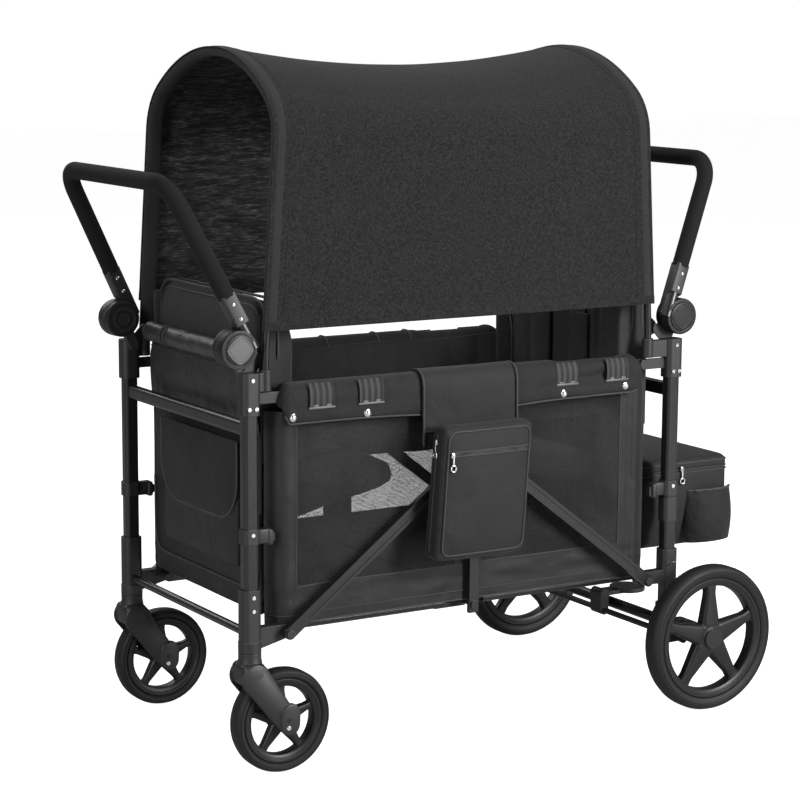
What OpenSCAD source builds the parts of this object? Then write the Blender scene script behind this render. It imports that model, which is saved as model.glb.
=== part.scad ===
// Folding stroller wagon: two leg frames, a folding floor, brace and rail linkage, swivelling front
// wheels, braked rear wheels, two tilting push bars, an arched canopy and a soft tub with two seats.
// X runs from the front (swivel wheels) to the rear, Y from the near side to the far side, Z up.
// Lengths are in millimetres. Pieces are drawn on the near side, at negative Y, and mirrored.

/* [Leg frames] */
// Half the distance between the near and far legs
leg_y = 248; // [225:1:280]
// Leg tube size along the wagon
leg_w = 28; // [25:1:34]
// Leg tube size across the wagon
leg_d = 24; // [21:1:28]
// Corner radius of the leg tube
leg_r = 7; // [4:0.5:9]
// Wall of the leg tube
leg_wall = 1.6; // [1:0.1:2.5]
// Height of the upper cross tubes
cross_z = 632; // [600:1:640]
// Height of the section of the upper cross tubes
cross_h = 27; // [20:1:30]
// Width of the section of the upper cross tubes
cross_w = 18; // [16:1:22]
// Height of the lower front bar
low_bar_z = 262; // [255:1:275]
// Radius of the lower front bar
low_bar_r = 8; // [6:0.5:10]

/* [Leg brackets] */
// Wall of the moulded brackets around the legs
bracket_wall = 4.5; // [3.5:0.5:6]
// Bottom of the top brackets
top_bracket_z = 658; // [645:1:665]
// Height of the top brackets
top_bracket_h = 75; // [70:1:80]
// Bottom of the rear lower brackets
low_bracket_z = 245; // [238:1:250]
// Height of the rear lower brackets
low_bracket_h = 69; // [60:1:80]
// Radius of the bracket arms at the fold pivots
arm_r = 13; // [11:0.5:15]
// Bottom of the front leg clips
front_clip_z = 427; // [415:1:440]
// Height of the front leg clips
front_clip_h = 27; // [22:1:32]
// Bottom of the rear leg clips
rear_clip_z = 423; // [421:1:435]
// Height of the rear leg clips
rear_clip_h = 29; // [22:1:32]
// Bottom of the rear leg collars
collar_z = 371; // [360:1:373]
// Height of the rear leg collars
collar_h = 47; // [40:1:47]
// Wall of the clips and collars
clip_wall = 3; // [2:0.5:4]
// Reach of a clip's hook from the leg's centre
clip_reach = 49; // [40:1:56]
// Thickness of a clip's hook
clip_hook_t = 9; // [6:0.5:11]
// Radius of the rivet heads
rivet_r = 3.6; // [2.5:0.1:4.5]
// Height of the rivet heads
rivet_h = 1.7; // [1:0.1:2.2]

/* [Fold linkage] */
// Distance of the fold pivots from the middle of the wagon
fold_half = 399; // [380:1:405]
// Distance of the legs from the fold pivots
arm_reach = 66; // [60:1:75]
// Height of the floor rails and lower fold pivots
floor_z = 261; // [256:1:266]
// Height of the top rails
top_rail_z = 686; // [680:1:690]
// Brace hubs' distance below the top rails
hub_below = 121; // [111:1:140]
// Depth of the brace bars
brace_w = 22; // [18:1:25]
// Thickness of the brace bars
brace_t = 11.8; // [10:0.2:14]
// Width of the groove along each brace
brace_groove_w = 9; // [6:0.5:11]
// Depth of the groove along each brace
brace_groove_d = 1.6; // [1:0.1:2.2]
// Radius of the top rail tubes
rail_r = 10; // [8.5:0.5:11]
// Radius of the floor rail tubes
floor_rail_r = 9; // [8.5:0.5:10]
// Thickness of the hinge ears
ear_t = 6; // [5:0.5:6.5]
// Length of the hinge ears beyond the tubes
ear_len = 44; // [42:1:50]
// Radius of the pivot pins
pin_r = 4; // [3:0.5:5]
// Radius of the pivot pin heads
pin_head_r = 8; // [6.5:0.5:9]
// Thickness of the pivot pin heads
pin_head_t = 2.6; // [2:0.2:3.2]
// Width of the centre posts
post_w = 20; // [16:1:24]
// Thickness of the centre posts
post_t = 9; // [8:0.5:10]
// Length of a centre post above its hub
post_spare = 8; // [6:1:26]
// Length of a centre post's foot below its pivot
post_down = 15; // [12:1:18]
// Height of the hub sleeve that slides on a centre post
hub_h = 40; // [30:1:46]
// Wall of the hub sleeve
hub_wall = 1.8; // [1.6:0.1:2.2]

/* [Rear wheels and axle] */
// Radius of the rear wheels
rear_r = 145; // [135:1:150]
// Width of the rear tyres
rear_w = 40; // [34:1:46]
// Rear axle's place behind the rear legs
axle_back = 48; // [44:1:52]
// Middle of the rear wheels from the middle of the wagon
rear_wheel_y = 325; // [322:1:335]
// Radius of the rear axle stub
axle_r = 6; // [5:0.5:7]
// Radius of the rear axle tube
axle_tube_r = 11; // [9:0.5:11]
// Depth of the rear tyres
rear_tyre_depth = 24; // [20:1:32]
// Depth of the rear rims
rear_rim_depth = 17; // [14:1:24]
// Radius of the rear hub
rear_hub_r = 26; // [22:1:30]
// Width of a rear spoke at the hub and at the rim
rear_spoke_w = [30, 20]; // [16:1:34]
// Thickness of the rear spokes
rear_spoke_t = 24; // [18:1:30]
// Radius of the brake drum inside each rear hub
drum_r = 12; // [10:0.5:12.5]
// Radius of the rear hub caps
hub_cap_r = 20; // [16:0.5:24]
// Thickness of the rear hub caps
hub_cap_t = 3.5; // [3:0.5:4]
// Radius of the rear knuckle around the axle
knuckle_r = 20; // [17:1:21]

/* [Front wheels and forks] */
// Radius of the front wheels
front_r = 96; // [90:1:102]
// Width of the front tyres
front_w = 36; // [30:1:38]
// Trail of the front axle behind its swivel
trail = 61; // [54:1:66]
// Depth of the front tyres
front_tyre_depth = 17; // [14:1:22]
// Depth of the front rims
front_rim_depth = 16; // [13:1:20]
// Radius of the front hub
front_hub_r = 17; // [15:1:20]
// Width of a front spoke at the hub and at the rim
front_spoke_w = [18, 12]; // [10:1:22]
// Thickness of the front spokes
front_spoke_t = 18; // [14:1:24]
// Radius of the front axle bolts
front_axle_r = 5; // [4:0.5:6]
// Bottom of the swivel sockets
socket_z = 230; // [226:1:236]
// Top of the swivel sockets
socket_top_z = 344; // [335:1:355]
// Radius of the swivel stems
stem_r = 8; // [6:0.5:9]
// Length of a stem in its socket
stem_len = 26; // [22:1:27]
// Radius of the swivel collars
swivel_r = 21; // [18:0.5:22]
// Height of the swivel collars
swivel_h = 22; // [18:1:24]
// Thickness of the fork sides
fork_t = 7; // [5:0.5:9]
// Space between a fork side and the wheel
fork_gap = 4; // [3:0.5:6]
// Radius of the fork's crown
fork_crown_r = 27; // [24:1:29]
// Radius of the axle covers
axle_cover_r = 19; // [16:1:22]

/* [Brake] */
// Brake rod's place ahead of the axle
brake_ahead = 28; // [25:1:30]
// Brake rod's place below the axle
brake_below = 11; // [9:1:13]
// Radius of the brake rod
brake_rod_r = 6; // [5:0.5:7]
// Length of the pedal behind the brake rod
pedal_len = 108; // [95:1:120]
// Width of the pedal
pedal_w = 74; // [60:1:90]
// Thickness of the pedal
pedal_t = 8; // [6:0.5:10]
// Length of the pawl on each end of the brake rod
pawl_len = 26; // [24:0.5:27]
// Thickness of the pawls
pawl_t = 9; // [7:0.5:10]

/* [Push bars] */
// Front push bar pivot's place ahead of the front legs
front_disc_out = 23.5; // [20:0.5:28]
// Rear push bar pivot's place behind the rear legs
rear_disc_out = 14; // [13:0.5:20]
// Height of the push bar pivots
disc_z = 776; // [774:1:784]
// Radius of the pivot discs
disc_r = 34; // [30:1:36]
// Thickness of the moving discs
disc_t = 27; // [24:0.5:28]
// Thickness of the fixed discs
seat_disc_t = 12.5; // [10:0.5:14]
// Width of the necks that carry the fixed discs
disc_neck_w = 20; // [16:0.5:22]
// Radius of the release buttons
button_r = 28; // [24:0.5:29]
// Thickness of the release buttons
button_t = 7; // [6:0.5:8]
// Travel of the release buttons
button_travel = 4; // [3:0.5:5]
// Radius of the disc pins
disc_pin_r = 8; // [6:0.5:10]
// Length of the disc pins
disc_pin_len = 13; // [10:0.5:13]
// Outward lean of the front push bar from upright, in degrees
front_bar_lean = 27; // [20:0.5:30]
// Outward lean of the rear push bar from upright, in degrees
rear_bar_lean = 22.5; // [18:0.5:30]
// Inward lean of each push bar arm, in degrees
bar_converge = 5.5; // [4:0.5:7]
// Height of a push bar along its lean
bar_len = 325; // [300:1:345]
// Bend radius of a push bar
bar_bend_r = 55; // [45:1:65]
// Radius of the push bar tubes
bar_r = 12.5; // [11:0.5:13]
// Radius of the foam grips
grip_r = 16; // [14.5:0.5:18]
// Start of the foam grip along an arm
grip_start = 104; // [95:1:115]
// Inboard offset of the arms from the pivots
arm_inset = 32; // [26:1:34]

/* [Canopy] */
// Front canopy pole's place behind the front legs
front_pole_in = 33; // [31:1:40]
// Rear canopy pole's place ahead of the rear legs
rear_pole_in = 59; // [57:1:62]
// Radius of the canopy poles
pole_r = 7; // [5.5:0.5:8]
// Wall of the pole sockets
socket_wall = 4; // [3:0.5:5]
// Depth of the pole sockets
socket_depth = 32; // [26:1:33]
// Height of the pole sockets
pole_socket_h = 37; // [34:1:37]
// Height of the canopy's top
canopy_top_z = 1294; // [1275:1:1310]
// Height of the hoops' shoulders, where their sides start to bend
hoop_spring_z = 1135; // [1120:1:1150]
// Bend radius of the hoops' shoulders
hoop_bend_r = 95; // [85:1:105]
// Inward lean of the canopy hoops from upright, in degrees
hoop_lean = 3.4; // [1:0.2:5]
// Straight length of a pole above its socket before it leans
pole_stub = 26; // [20:1:40]
// Height of the canopy's lower edge
canopy_low_z = 805; // [795:1:830]
// Thickness of the canopy cloth
canopy_t = 2.6; // [2:0.2:4]
// Sag of the canopy between its hoops
canopy_sag = 36; // [10:1:50]
// Overhang of the cloth past each hoop
canopy_over = 9; // [8:0.5:12]

/* [Tub] */
// Thickness of the tub's end panels
end_t = 8; // [6:0.5:10]
// Front and rear end panels' place inside the legs
end_in = 41; // [38:1:43]
// Bottom of the end panels
end_bottom_z = 302; // [296:1:312]
// Height of the padded rolls along the end panels
end_roll_z = 752; // [740:1:765]
// Radius of the padded rolls along the end panels
end_roll_r = 19; // [15:0.5:22]
// Thickness of the side panels
side_t = 4; // [3:0.5:5]
// Bottom of the side panels
side_bottom_z = 279; // [278:1:290]
// Side panels' rear end, ahead of the rear legs
side_rear_in = 72; // [71:1:85]
// Radius of the padded side bumpers
bumper_r = 26; // [22:0.5:28]
// Thickness of the flap below a bumper
flap_t = 8; // [5:0.5:9]
// Depth of the flap's lower edge below the top rails
flap_drop = 45; // [38:1:50]
// Bumper ends' distance from the fold pivots
bumper_short = 15; // [13:1:20]
// Thickness of the floor boards
board_t = 11; // [8:0.5:13]
// Floor boards' distance from the fold pivots
board_short = 27; // [25:1:35]
// Width of the gap between the two floor boards
board_split = 16; // [10:1:24]

/* [Seats] */
// Half the width of the seats
seat_half_y = 205; // [185:1:210]
// Bottom of the seat backs
back_low_z = 332; // [325:1:345]
// Top of the seat backs
back_top_z = 850; // [820:1:860]
// Thickness of the seat backs at their edges
back_t = 30; // [24:1:34]
// Crown of the seat backs
back_crown = 10; // [4:1:14]
// Depth of the seat cushions
cushion_len = 268; // [230:1:290]
// Thickness of the seat cushions at their edges
cushion_t = 40; // [30:1:50]
// Crown of the seat cushions
cushion_crown = 14; // [6:1:18]
// Height of the seat cushions' underside at the back
cushion_z = 462; // [430:1:480]
// Upward tilt of the seat cushions, in degrees
cushion_tilt = 5; // [0:0.5:8]
// Depth of the sewn channels
channel_d = 5; // [2:0.5:7]

/* [Bags] */
// Width of the pocket bag
pocket_w = 200; // [180:1:230]
// Pocket bag's middle ahead of the wagon's middle
pocket_ahead = 18; // [0:1:30]
// Height of the pocket bag
pocket_h = 232; // [200:1:245]
// Bottom of the pocket bag
pocket_z = 378; // [365:1:385]
// Thickness of the pocket bag
pocket_t = 46; // [36:1:52]
// Corner radius of the pocket bag
pocket_r = 16; // [10:1:20]
// Width of the pocket bag's hanger
hanger_w = 202; // [170:1:210]
// Top of the pocket bag's hanger
hanger_top_z = 704; // [690:1:706]
// Thickness of the hanger
hanger_t = 4; // [3:0.5:5]
// Length of the rear bag
rear_bag_len = 226; // [190:1:240]
// Half the width of the rear bag
rear_bag_half_y = 205; // [180:1:215]
// Bottom of the rear bag
rear_bag_z = 299; // [290:1:310]
// Height of the rear bag
rear_bag_h = 172; // [150:1:185]
// Corner radius of the rear bag
rear_bag_r = 26; // [15:1:35]

/* [Fits] */
// Gap between pieces that move past each other
move_gap = 0.5; // [0.3:0.1:0.8]
// Gap between pieces that are fastened together
seat_gap = 0.2; // [0.1:0.05:0.3]
// Radial clearance of a running pin
run_gap = 0.05; // [0.02:0.01:0.1]
// Radial clearance of the pivots where the linkage is open
open_gap = 0.6; // [0.4:0.1:1]
// Overrun of every cut
over = 1; // [0.5:0.5:2]

/* [Hidden] */
$fn = 48;

// Legs, hubs and posts
leg_x = fold_half + arm_reach;
hub_z = top_rail_z - hub_below;
post_up = hub_z - floor_z + hub_h / 2 + post_spare;

// Lanes across the wagon, from the legs outwards and then inwards
sleeve_out = leg_y + leg_d / 2 + bracket_wall;
sleeve_in = leg_y - leg_d / 2 - bracket_wall;
// Each leg ends inside its top bracket, which closes over it
leg_top_z = top_bracket_z + top_bracket_h - bracket_wall;
brace_in = sleeve_out + rivet_h + 4 * move_gap;
brace_out = brace_in + brace_t;
hub_out = brace_in - move_gap;
post_out = hub_out - hub_wall;
post_in = post_out - post_t;
hub_in = post_in - hub_wall;
rail_lane = hub_in - 2 * move_gap - rail_r;
floor_lane = rail_lane - rail_r - 6 * move_gap - floor_rail_r;
side_out = rail_lane + rail_r - 6 * move_gap;
ear_inner = rail_lane - ear_t - move_gap / 2;
ear_outer = rail_lane + move_gap / 2;
floor_ear_inner = floor_lane - ear_t - move_gap / 2;
floor_ear_outer = floor_lane + move_gap / 2;
pin_outer = brace_out + move_gap;

// Brace length and rise
brace_rise = hub_z - floor_z;
brace_len = norm([fold_half, brace_rise]);
brace_angle = atan2(brace_rise, fold_half);
brace_lap_share = 2.6;
brace_lap = brace_lap_share * brace_w;

// Wheel, disc and pole places
axle_x = leg_x + axle_back;
brake_x = axle_x - brake_ahead;
brake_z = rear_r - brake_below;
front_disc_x = -leg_x - front_disc_out;
rear_disc_x = leg_x + rear_disc_out;
// The fixed discs stand inboard of the legs, so that the moving discs and their arms turn in line with the legs
seat_disc_out = leg_y - leg_d / 2 - 5 * move_gap;
disc_in = seat_disc_out + move_gap;
disc_out = disc_in + disc_t;
// The fixed disc is smaller than the moving one, and each arm clears it as it leans in
fixed_disc_share = 0.78;
bar_y = disc_in + bar_r + 2 * move_gap + fixed_disc_share * disc_r * tan(bar_converge);
front_pole_x = -leg_x + front_pole_in;
rear_pole_x = leg_x - rear_pole_in;
pole_socket_z = top_bracket_z + top_bracket_h + 2 * move_gap + bracket_wall / 2 - pole_socket_h;
pole_top_of_socket = pole_socket_z + pole_socket_h;
pole_foot_z = pole_top_of_socket - socket_depth;
pole_kink_z = pole_top_of_socket + pole_stub;
// A hoop has straight sides, two shoulder bends and one wide crown that runs into both bends
hoop_len = (hoop_spring_z - pole_kink_z) / cos(hoop_lean);
hoop_rise = (canopy_top_z - canopy_t - pole_r - hoop_spring_z) / cos(hoop_lean);
hoop_bend_y = leg_y - hoop_bend_r;
hoop_top_r = (pow(hoop_bend_y, 2) + pow(hoop_rise, 2) - pow(hoop_bend_r, 2)) / 2 / (hoop_rise - hoop_bend_r);
hoop_turn = atan2(hoop_top_r - hoop_rise, hoop_bend_y);
// Bends are a touch thicker than the straight tubes, which end a little way inside them
bend_swell = seat_gap / 4;
bend_lap = 2 * over;
rail_room_r = norm([rail_r, ear_t + move_gap]) + move_gap;
ear_root_share = 1.4;

// Tub places
end_x = leg_x - end_in;
end_roll_x = end_x - end_t / 2 + end_roll_r;
bumper_reach = fold_half - bumper_short;
side_front = leg_x - clip_reach - 2 * move_gap;
side_rear = leg_x - side_rear_in;
side_top_z = top_rail_z - bumper_r - move_gap;
flap_z = top_rail_z - flap_drop;
board_half_y = floor_lane + floor_rail_r;
board_z = floor_z + floor_rail_r + move_gap / 2;
back_x = end_x - end_t / 2 - back_t / 2 - seat_gap;
pocket_in = brace_out + pin_head_t + 4 * move_gap;

// The whole wagon is moved along X so that its box is centred over the origin
bar_reach = -front_disc_x - arm_inset + bar_len * sin(front_bar_lean) + grip_r;
wheel_reach = axle_x + rear_r;
origin_x = (bar_reach - wheel_reach) / 2;

// Points along each form of the soft pieces
pad_steps = [24, 12];
canopy_steps = [12, 8, 18];
canopy_off = (hoop_top_r + pole_r + move_gap) / cos(90 / canopy_steps[2]) - hoop_top_r;

metal = [0.09, 0.09, 0.095];
plastic = [0.06, 0.06, 0.065];
cloth = [0.045, 0.045, 0.05];
foam = [0.03, 0.03, 0.032];
rubber = [0.05, 0.05, 0.052];
silver = [0.75, 0.75, 0.77];

module placed() translate([origin_x, 0, 0]) children();
module far() mirror([0, 1, 0]) children();
module both() {
    children();
    far() children();
}

// Plate in the XZ plane on the near side, from y_from out to y_to
module plate(y_from, y_to) translate([0, -y_from, 0]) rotate([90, 0, 0])
    linear_extrude(y_to - y_from) children();
// Cylinder across the wagon on the near side
module across(p, r, y_from, y_to) translate([p[0], -y_from, p[1]]) rotate([90, 0, 0])
    cylinder(r = r, h = y_to - y_from);
// Round-ended bar between two points; its flanks lie a hair inside its round ends
bar_ease = seat_gap / 5;
module bar2d(p, q, r) {
    half = r - bar_ease;
    translate(p) circle(r = r);
    translate(q) circle(r = r);
    translate(p) rotate(atan2(q[1] - p[1], q[0] - p[0])) translate([0, -half])
        square([norm(q - p), 2 * half]);
}
// Rectangle with round corners, centred
module rounded2d(w, d, r) {
    square([w - 2 * r, d], center = true);
    square([w, d - 2 * r], center = true);
    for (sx = [-1, 1], sy = [-1, 1]) translate([sx * (w / 2 - r), sy * (d / 2 - r)]) circle(r = r);
}
// Solid sleeve around a leg, with the wall given
module sleeve(x, z, h, wall) translate([x, -leg_y, z]) linear_extrude(h)
    rounded2d(leg_w + 2 * wall, leg_d + 2 * wall, leg_r + wall);
// Room for a leg inside a sleeve
module leg_room(x, z, h) sleeve(x, z, h, seat_gap);

// Leg tubes
module leg(x, z_from) translate([x, -leg_y, z_from]) linear_extrude(leg_top_z - z_from) difference() {
    rounded2d(leg_w, leg_d, leg_r);
    rounded2d(leg_w - 2 * leg_wall, leg_d - 2 * leg_wall, leg_r - leg_wall);
}
front_leg_z = socket_z + stem_len + 2 * bracket_wall;
rear_leg_z = rear_r;
module rear_legs() color(metal) both() leg(leg_x, rear_leg_z);
module front_legs() color(metal) both() leg(-leg_x, front_leg_z);

// Top bracket: sleeve, pole socket, rail lug with its pin, and the fixed disc of the push bar pivot
module top_bracket(x, pole_x) {
    lug = [sign(x) * fold_half, top_rail_z];
    difference() {
        union() {
            sleeve(x, top_bracket_z, top_bracket_h, bracket_wall);
            translate([pole_x, -leg_y, pole_socket_z]) cylinder(r = pole_r + socket_wall, h = pole_socket_h);
            plate(leg_y - leg_d / 3, leg_y + leg_d / 3) translate([min(x, pole_x), pole_socket_z])
                square([abs(x - pole_x), pole_socket_h - bracket_wall]);
            plate(ear_outer, ear_outer + ear_t) bar2d([x, top_rail_z], lug, rail_r);
            across(lug, pin_r, ear_inner - move_gap, ear_outer + ear_t / 2);
            across(lug, pin_head_r, ear_inner - move_gap - pin_head_t, ear_inner - move_gap);
        }
        leg_room(x, top_bracket_z - over, leg_top_z - top_bracket_z + over + seat_gap);
        translate([pole_x, -leg_y, pole_foot_z]) cylinder(r = pole_r + seat_gap, h = socket_depth + over);
    }
}
module fixed_disc(x, disc_x) {
    across([disc_x, disc_z], fixed_disc_share * disc_r, seat_disc_out - seat_disc_t, seat_disc_out);
    plate(seat_disc_out - seat_disc_t + move_gap, seat_disc_out - move_gap)
        bar2d([x, leg_top_z - bracket_wall], [disc_x, disc_z], disc_neck_w / 2);
    // Lug that the end of the padded roll sits against
    plate(sleeve_in + seat_gap / 2, leg_y - leg_d / 2 - move_gap)
        bar2d([x, leg_top_z - bracket_wall], [sign(x) * end_roll_x, end_roll_z], disc_neck_w / 2);
    across([disc_x, disc_z], disc_pin_r, seat_disc_out - seat_disc_t / 2, seat_disc_out + disc_pin_len);
}
module rear_top_brackets() color(plastic) both() {
    top_bracket(leg_x, rear_pole_x);
    fixed_disc(leg_x, rear_disc_x);
}
module front_top_brackets() color(plastic) both() {
    top_bracket(-leg_x, front_pole_x);
    fixed_disc(-leg_x, front_disc_x);
}

// Cross tubes between the legs
module cross_tube(x) plate(-(leg_y - leg_d / 2), leg_y - leg_d / 2) translate([x, cross_z])
    rounded2d(cross_w, cross_h, leg_r);
module rear_cross_tube() color(metal) cross_tube(leg_x);
module front_cross_tube() color(metal) cross_tube(-leg_x);
module front_low_bar() color(metal) across([-leg_x, low_bar_z], low_bar_r, -sleeve_in, sleeve_in);

// Arm and long pivot pin that carry a floor rail inside and a brace outside. The arm deepens to its root
arm_in = rail_lane - rail_r / 3;
arm_out = leg_y + leg_d / 2;
module fold_arm(x, root_z) {
    pivot = [sign(x) * fold_half, floor_z];
    side = arm_r - bar_ease;
    plate(arm_in, arm_out) {
        translate(pivot) circle(r = arm_r);
        polygon([[x, floor_z + side], pivot + [0, side], pivot - [0, side], [x, root_z]]);
    }
    across(pivot, pin_r, floor_ear_inner - move_gap, pin_outer);
    across(pivot, pin_head_r, pin_outer, pin_outer + pin_head_t);
    across(pivot, pin_head_r, floor_ear_inner - move_gap - pin_head_t, floor_ear_inner - move_gap);
}
module lower_bracket() difference() {
    union() {
        sleeve(leg_x, low_bracket_z, low_bracket_h, bracket_wall);
        fold_arm(leg_x, low_bracket_z + bracket_wall / 2);
    }
    leg_room(leg_x, low_bracket_z - over, low_bracket_h + 2 * over);
}
module rear_lower_brackets() color(plastic) both() lower_bracket();

// Swivel socket: leg sleeve above, round stem housing below
module swivel_socket() difference() {
    union() {
        sleeve(-leg_x, floor_z - arm_r, socket_top_z - floor_z + arm_r, bracket_wall);
        translate([-leg_x, -leg_y, socket_z]) cylinder(r = swivel_r, h = floor_z - arm_r + over - socket_z);
        fold_arm(-leg_x, socket_z + bracket_wall / 2);
    }
    leg_room(-leg_x, front_leg_z - seat_gap, socket_top_z - front_leg_z + over);
    translate([-leg_x, -leg_y, socket_z - over])
        cylinder(r = stem_r + run_gap, h = stem_len + over + move_gap);
}
module front_sockets() color(plastic) both() swivel_socket();

// Clips part way up the legs, each with a hook that points into the wagon
module clip(x, z, h) {
    inward = -sign(x);
    hook_x = x + inward * clip_reach;
    difference() {
        union() {
            sleeve(x, z, h, clip_wall);
            plate(leg_y - clip_hook_t / 2, leg_y + clip_hook_t / 2) {
                bar2d([x, z + h / 2], [hook_x - inward * clip_hook_t / 2, z + h / 2], clip_hook_t / 2);
                bar2d([hook_x - inward * clip_hook_t / 2, z + h / 2],
                    [hook_x - inward * clip_hook_t / 2, z + clip_hook_t / 2], clip_hook_t / 2);
            }
        }
        leg_room(x, z - over, h + 2 * over);
    }
}
module collar() difference() {
    sleeve(leg_x, collar_z, collar_h, clip_wall);
    leg_room(leg_x, collar_z - over, collar_h + 2 * over);
}
module rear_clips() color(plastic) both() {
    clip(leg_x, rear_clip_z, rear_clip_h);
    collar();
}
module front_clips() color(plastic) both() clip(-leg_x, front_clip_z, front_clip_h);

// Rivet heads on the outer faces of the brackets and clips
top_rivet_shares = [0.16, 0.84];
low_rivet_share = 0.6;
socket_rivet_shares = [0.61, 0.865];
clip_rivet_share = 0.64;
clip_out = leg_y + leg_d / 2 + clip_wall;
module rivet(x, z, face) across([x, z], rivet_r, face, face + rivet_h);
module rivet_pair(x, z) for (s = [-1, 1]) rivet(x + s * leg_w / 4, z, sleeve_out);
module top_rivets(x) {
    rivet_pair(x, top_bracket_z + top_rivet_shares[0] * top_bracket_h);
    rivet(x, top_bracket_z + top_rivet_shares[1] * top_bracket_h, sleeve_out);
}
module rear_rivets() color(silver) both() {
    top_rivets(leg_x);
    rivet_pair(leg_x, low_bracket_z + low_rivet_share * low_bracket_h);
    rivet(leg_x, rear_clip_z + clip_rivet_share * rear_clip_h, clip_out);
}
module front_rivets() color(silver) both() {
    top_rivets(-leg_x);
    for (s = socket_rivet_shares)
        rivet(-leg_x, floor_z - arm_r + s * (socket_top_z - floor_z + arm_r), sleeve_out);
    rivet(-leg_x, front_clip_z + clip_rivet_share * front_clip_h, clip_out);
}

// Rear axle, its knuckles on the legs, and the wheels
rim_width_share = 0.8;
rear_rim_r = rear_r - rear_tyre_depth;
rear_rim_in = rear_rim_r - rear_rim_depth;
front_rim_r = front_r - front_tyre_depth;
front_rim_in = front_rim_r - front_rim_depth;
knuckle_out = sleeve_out + axle_tube_r;
rear_cap_y = rear_wheel_y + rim_width_share * rear_w / 2 + move_gap;
module rear_axle() color(metal) {
    across([axle_x, rear_r], axle_tube_r, -sleeve_out, sleeve_out);
    across([axle_x, rear_r], axle_r, -rear_cap_y, rear_cap_y);
    both() across([axle_x, rear_r], hub_cap_r, rear_cap_y, rear_cap_y + hub_cap_t);
}
module knuckle() difference() {
    union() {
        sleeve(leg_x, rear_r - knuckle_r, 4 * knuckle_r, bracket_wall);
        plate(sleeve_in, sleeve_out) bar2d([leg_x, rear_r], [axle_x, rear_r], knuckle_r);
        across([axle_x, rear_r], knuckle_r, sleeve_in, knuckle_out);
    }
    leg_room(leg_x, rear_leg_z - seat_gap, 4 * knuckle_r);
    across([axle_x, rear_r], axle_tube_r + seat_gap, sleeve_in - over, sleeve_out + seat_gap);
    across([axle_x, rear_r], axle_r + seat_gap, sleeve_in, knuckle_out + over);
    across([brake_x, brake_z], brake_rod_r + run_gap, sleeve_in - over, sleeve_out + over);
}
module rear_knuckles() color(plastic) both() knuckle();

// Wheel pieces lie around the Z axis and are then turned to face across the wagon
module rim(r_out, r_in, width, hub_r, hub_w, spoke_w, spoke_t, bore_r, drum) difference() {
    union() {
        rotate_extrude() translate([r_in, -width / 2]) square([r_out - r_in, width]);
        translate([0, 0, -hub_w / 2]) cylinder(r = hub_r, h = hub_w);
        translate([0, 0, -hub_w / 2 - drum[1]]) cylinder(r = drum[0], h = hub_w / 2 + drum[1]);
        for (i = [0:4]) rotate(i * 72 + 90) translate([0, 0, -spoke_t / 2]) linear_extrude(spoke_t) polygon([
            [0, -spoke_w[0] / 2], [(r_in + r_out) / 2, -spoke_w[1] / 2],
            [(r_in + r_out) / 2, spoke_w[1] / 2], [0, spoke_w[0] / 2]
        ]);
    }
    translate([0, 0, -hub_w / 2 - drum[1] - over]) cylinder(r = bore_r, h = hub_w + drum[1] + 2 * over);
}
tyre_round_share = 0.3;
module tyre(r_out, r_in, width) {
    round_r = min(tyre_round_share * width, (r_out - r_in) / 2 - seat_gap);
    rotate_extrude() {
        translate([r_in, -width / 2]) square([r_out - r_in - round_r, width]);
        translate([r_in, -width / 2 + round_r]) square([r_out - r_in, width - 2 * round_r]);
        for (s = [-1, 1]) translate([r_out - round_r, s * (width / 2 - round_r)]) circle(r = round_r);
    }
}
rear_hub_w = rim_width_share * rear_w;
rear_drum = [drum_r, rear_wheel_y - rear_hub_w / 2 - knuckle_out - 2 * move_gap];
front_drum = [front_hub_r - fork_gap / 2, fork_gap - move_gap];
module rear_wheel_place() translate([axle_x, -rear_wheel_y, rear_r]) rotate([90, 0, 0]) children();
module rear_rim_piece() color(plastic) rear_wheel_place()
    rim(rear_rim_r, rear_rim_in, rim_width_share * rear_w, rear_hub_r, rear_hub_w, rear_spoke_w,
        rear_spoke_t, axle_r + run_gap, rear_drum);
module rear_tyre_piece() color(rubber) rear_wheel_place() tyre(rear_r, rear_rim_r + seat_gap, rear_w);
module front_wheel_place() translate([-leg_x + trail, -leg_y, front_r]) rotate([90, 0, 0]) children();
module front_rim_piece() color(plastic) front_wheel_place()
    rim(front_rim_r, front_rim_in, rim_width_share * front_w, front_hub_r, front_w, front_spoke_w,
        front_spoke_t, front_axle_r + run_gap, front_drum);
module front_tyre_piece() color(rubber) front_wheel_place() tyre(front_r, front_rim_r + seat_gap, front_w);

// Fork: stem, swivel collar, crown and two sides with axle covers
fork_half = front_w / 2 + fork_gap + fork_t;
crown_drop_share = 0.85;
fork_crown_z = socket_z - move_gap - swivel_h - crown_drop_share * fork_crown_r;
module fork_side2d() hull() {
    translate([0, fork_crown_z]) circle(r = fork_crown_r, $fn = 32);
    translate([trail, front_r]) circle(r = axle_cover_r, $fn = 32);
}
module fork_slab(from, to) plate(from, to) fork_side2d();
module fork() color(plastic) translate([-leg_x, -leg_y, 0]) {
    cylinder_top = socket_z - move_gap;
    translate([0, 0, cylinder_top - over]) cylinder(r = stem_r, h = stem_len + over);
    translate([0, 0, cylinder_top - swivel_h]) cylinder(r = swivel_r, h = swivel_h);
    fork_slab(-fork_half, -fork_half + fork_t);
    fork_slab(fork_half - fork_t, fork_half);
    difference() {
        fork_slab(-fork_half, fork_half);
        translate([trail, fork_half + over, front_r]) rotate([90, 0, 0])
            cylinder(r = front_r + fork_gap, h = 2 * (fork_half + over));
    }
    translate([trail, fork_half, front_r]) rotate([90, 0, 0]) cylinder(r = front_axle_r, h = 2 * fork_half);
}

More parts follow.
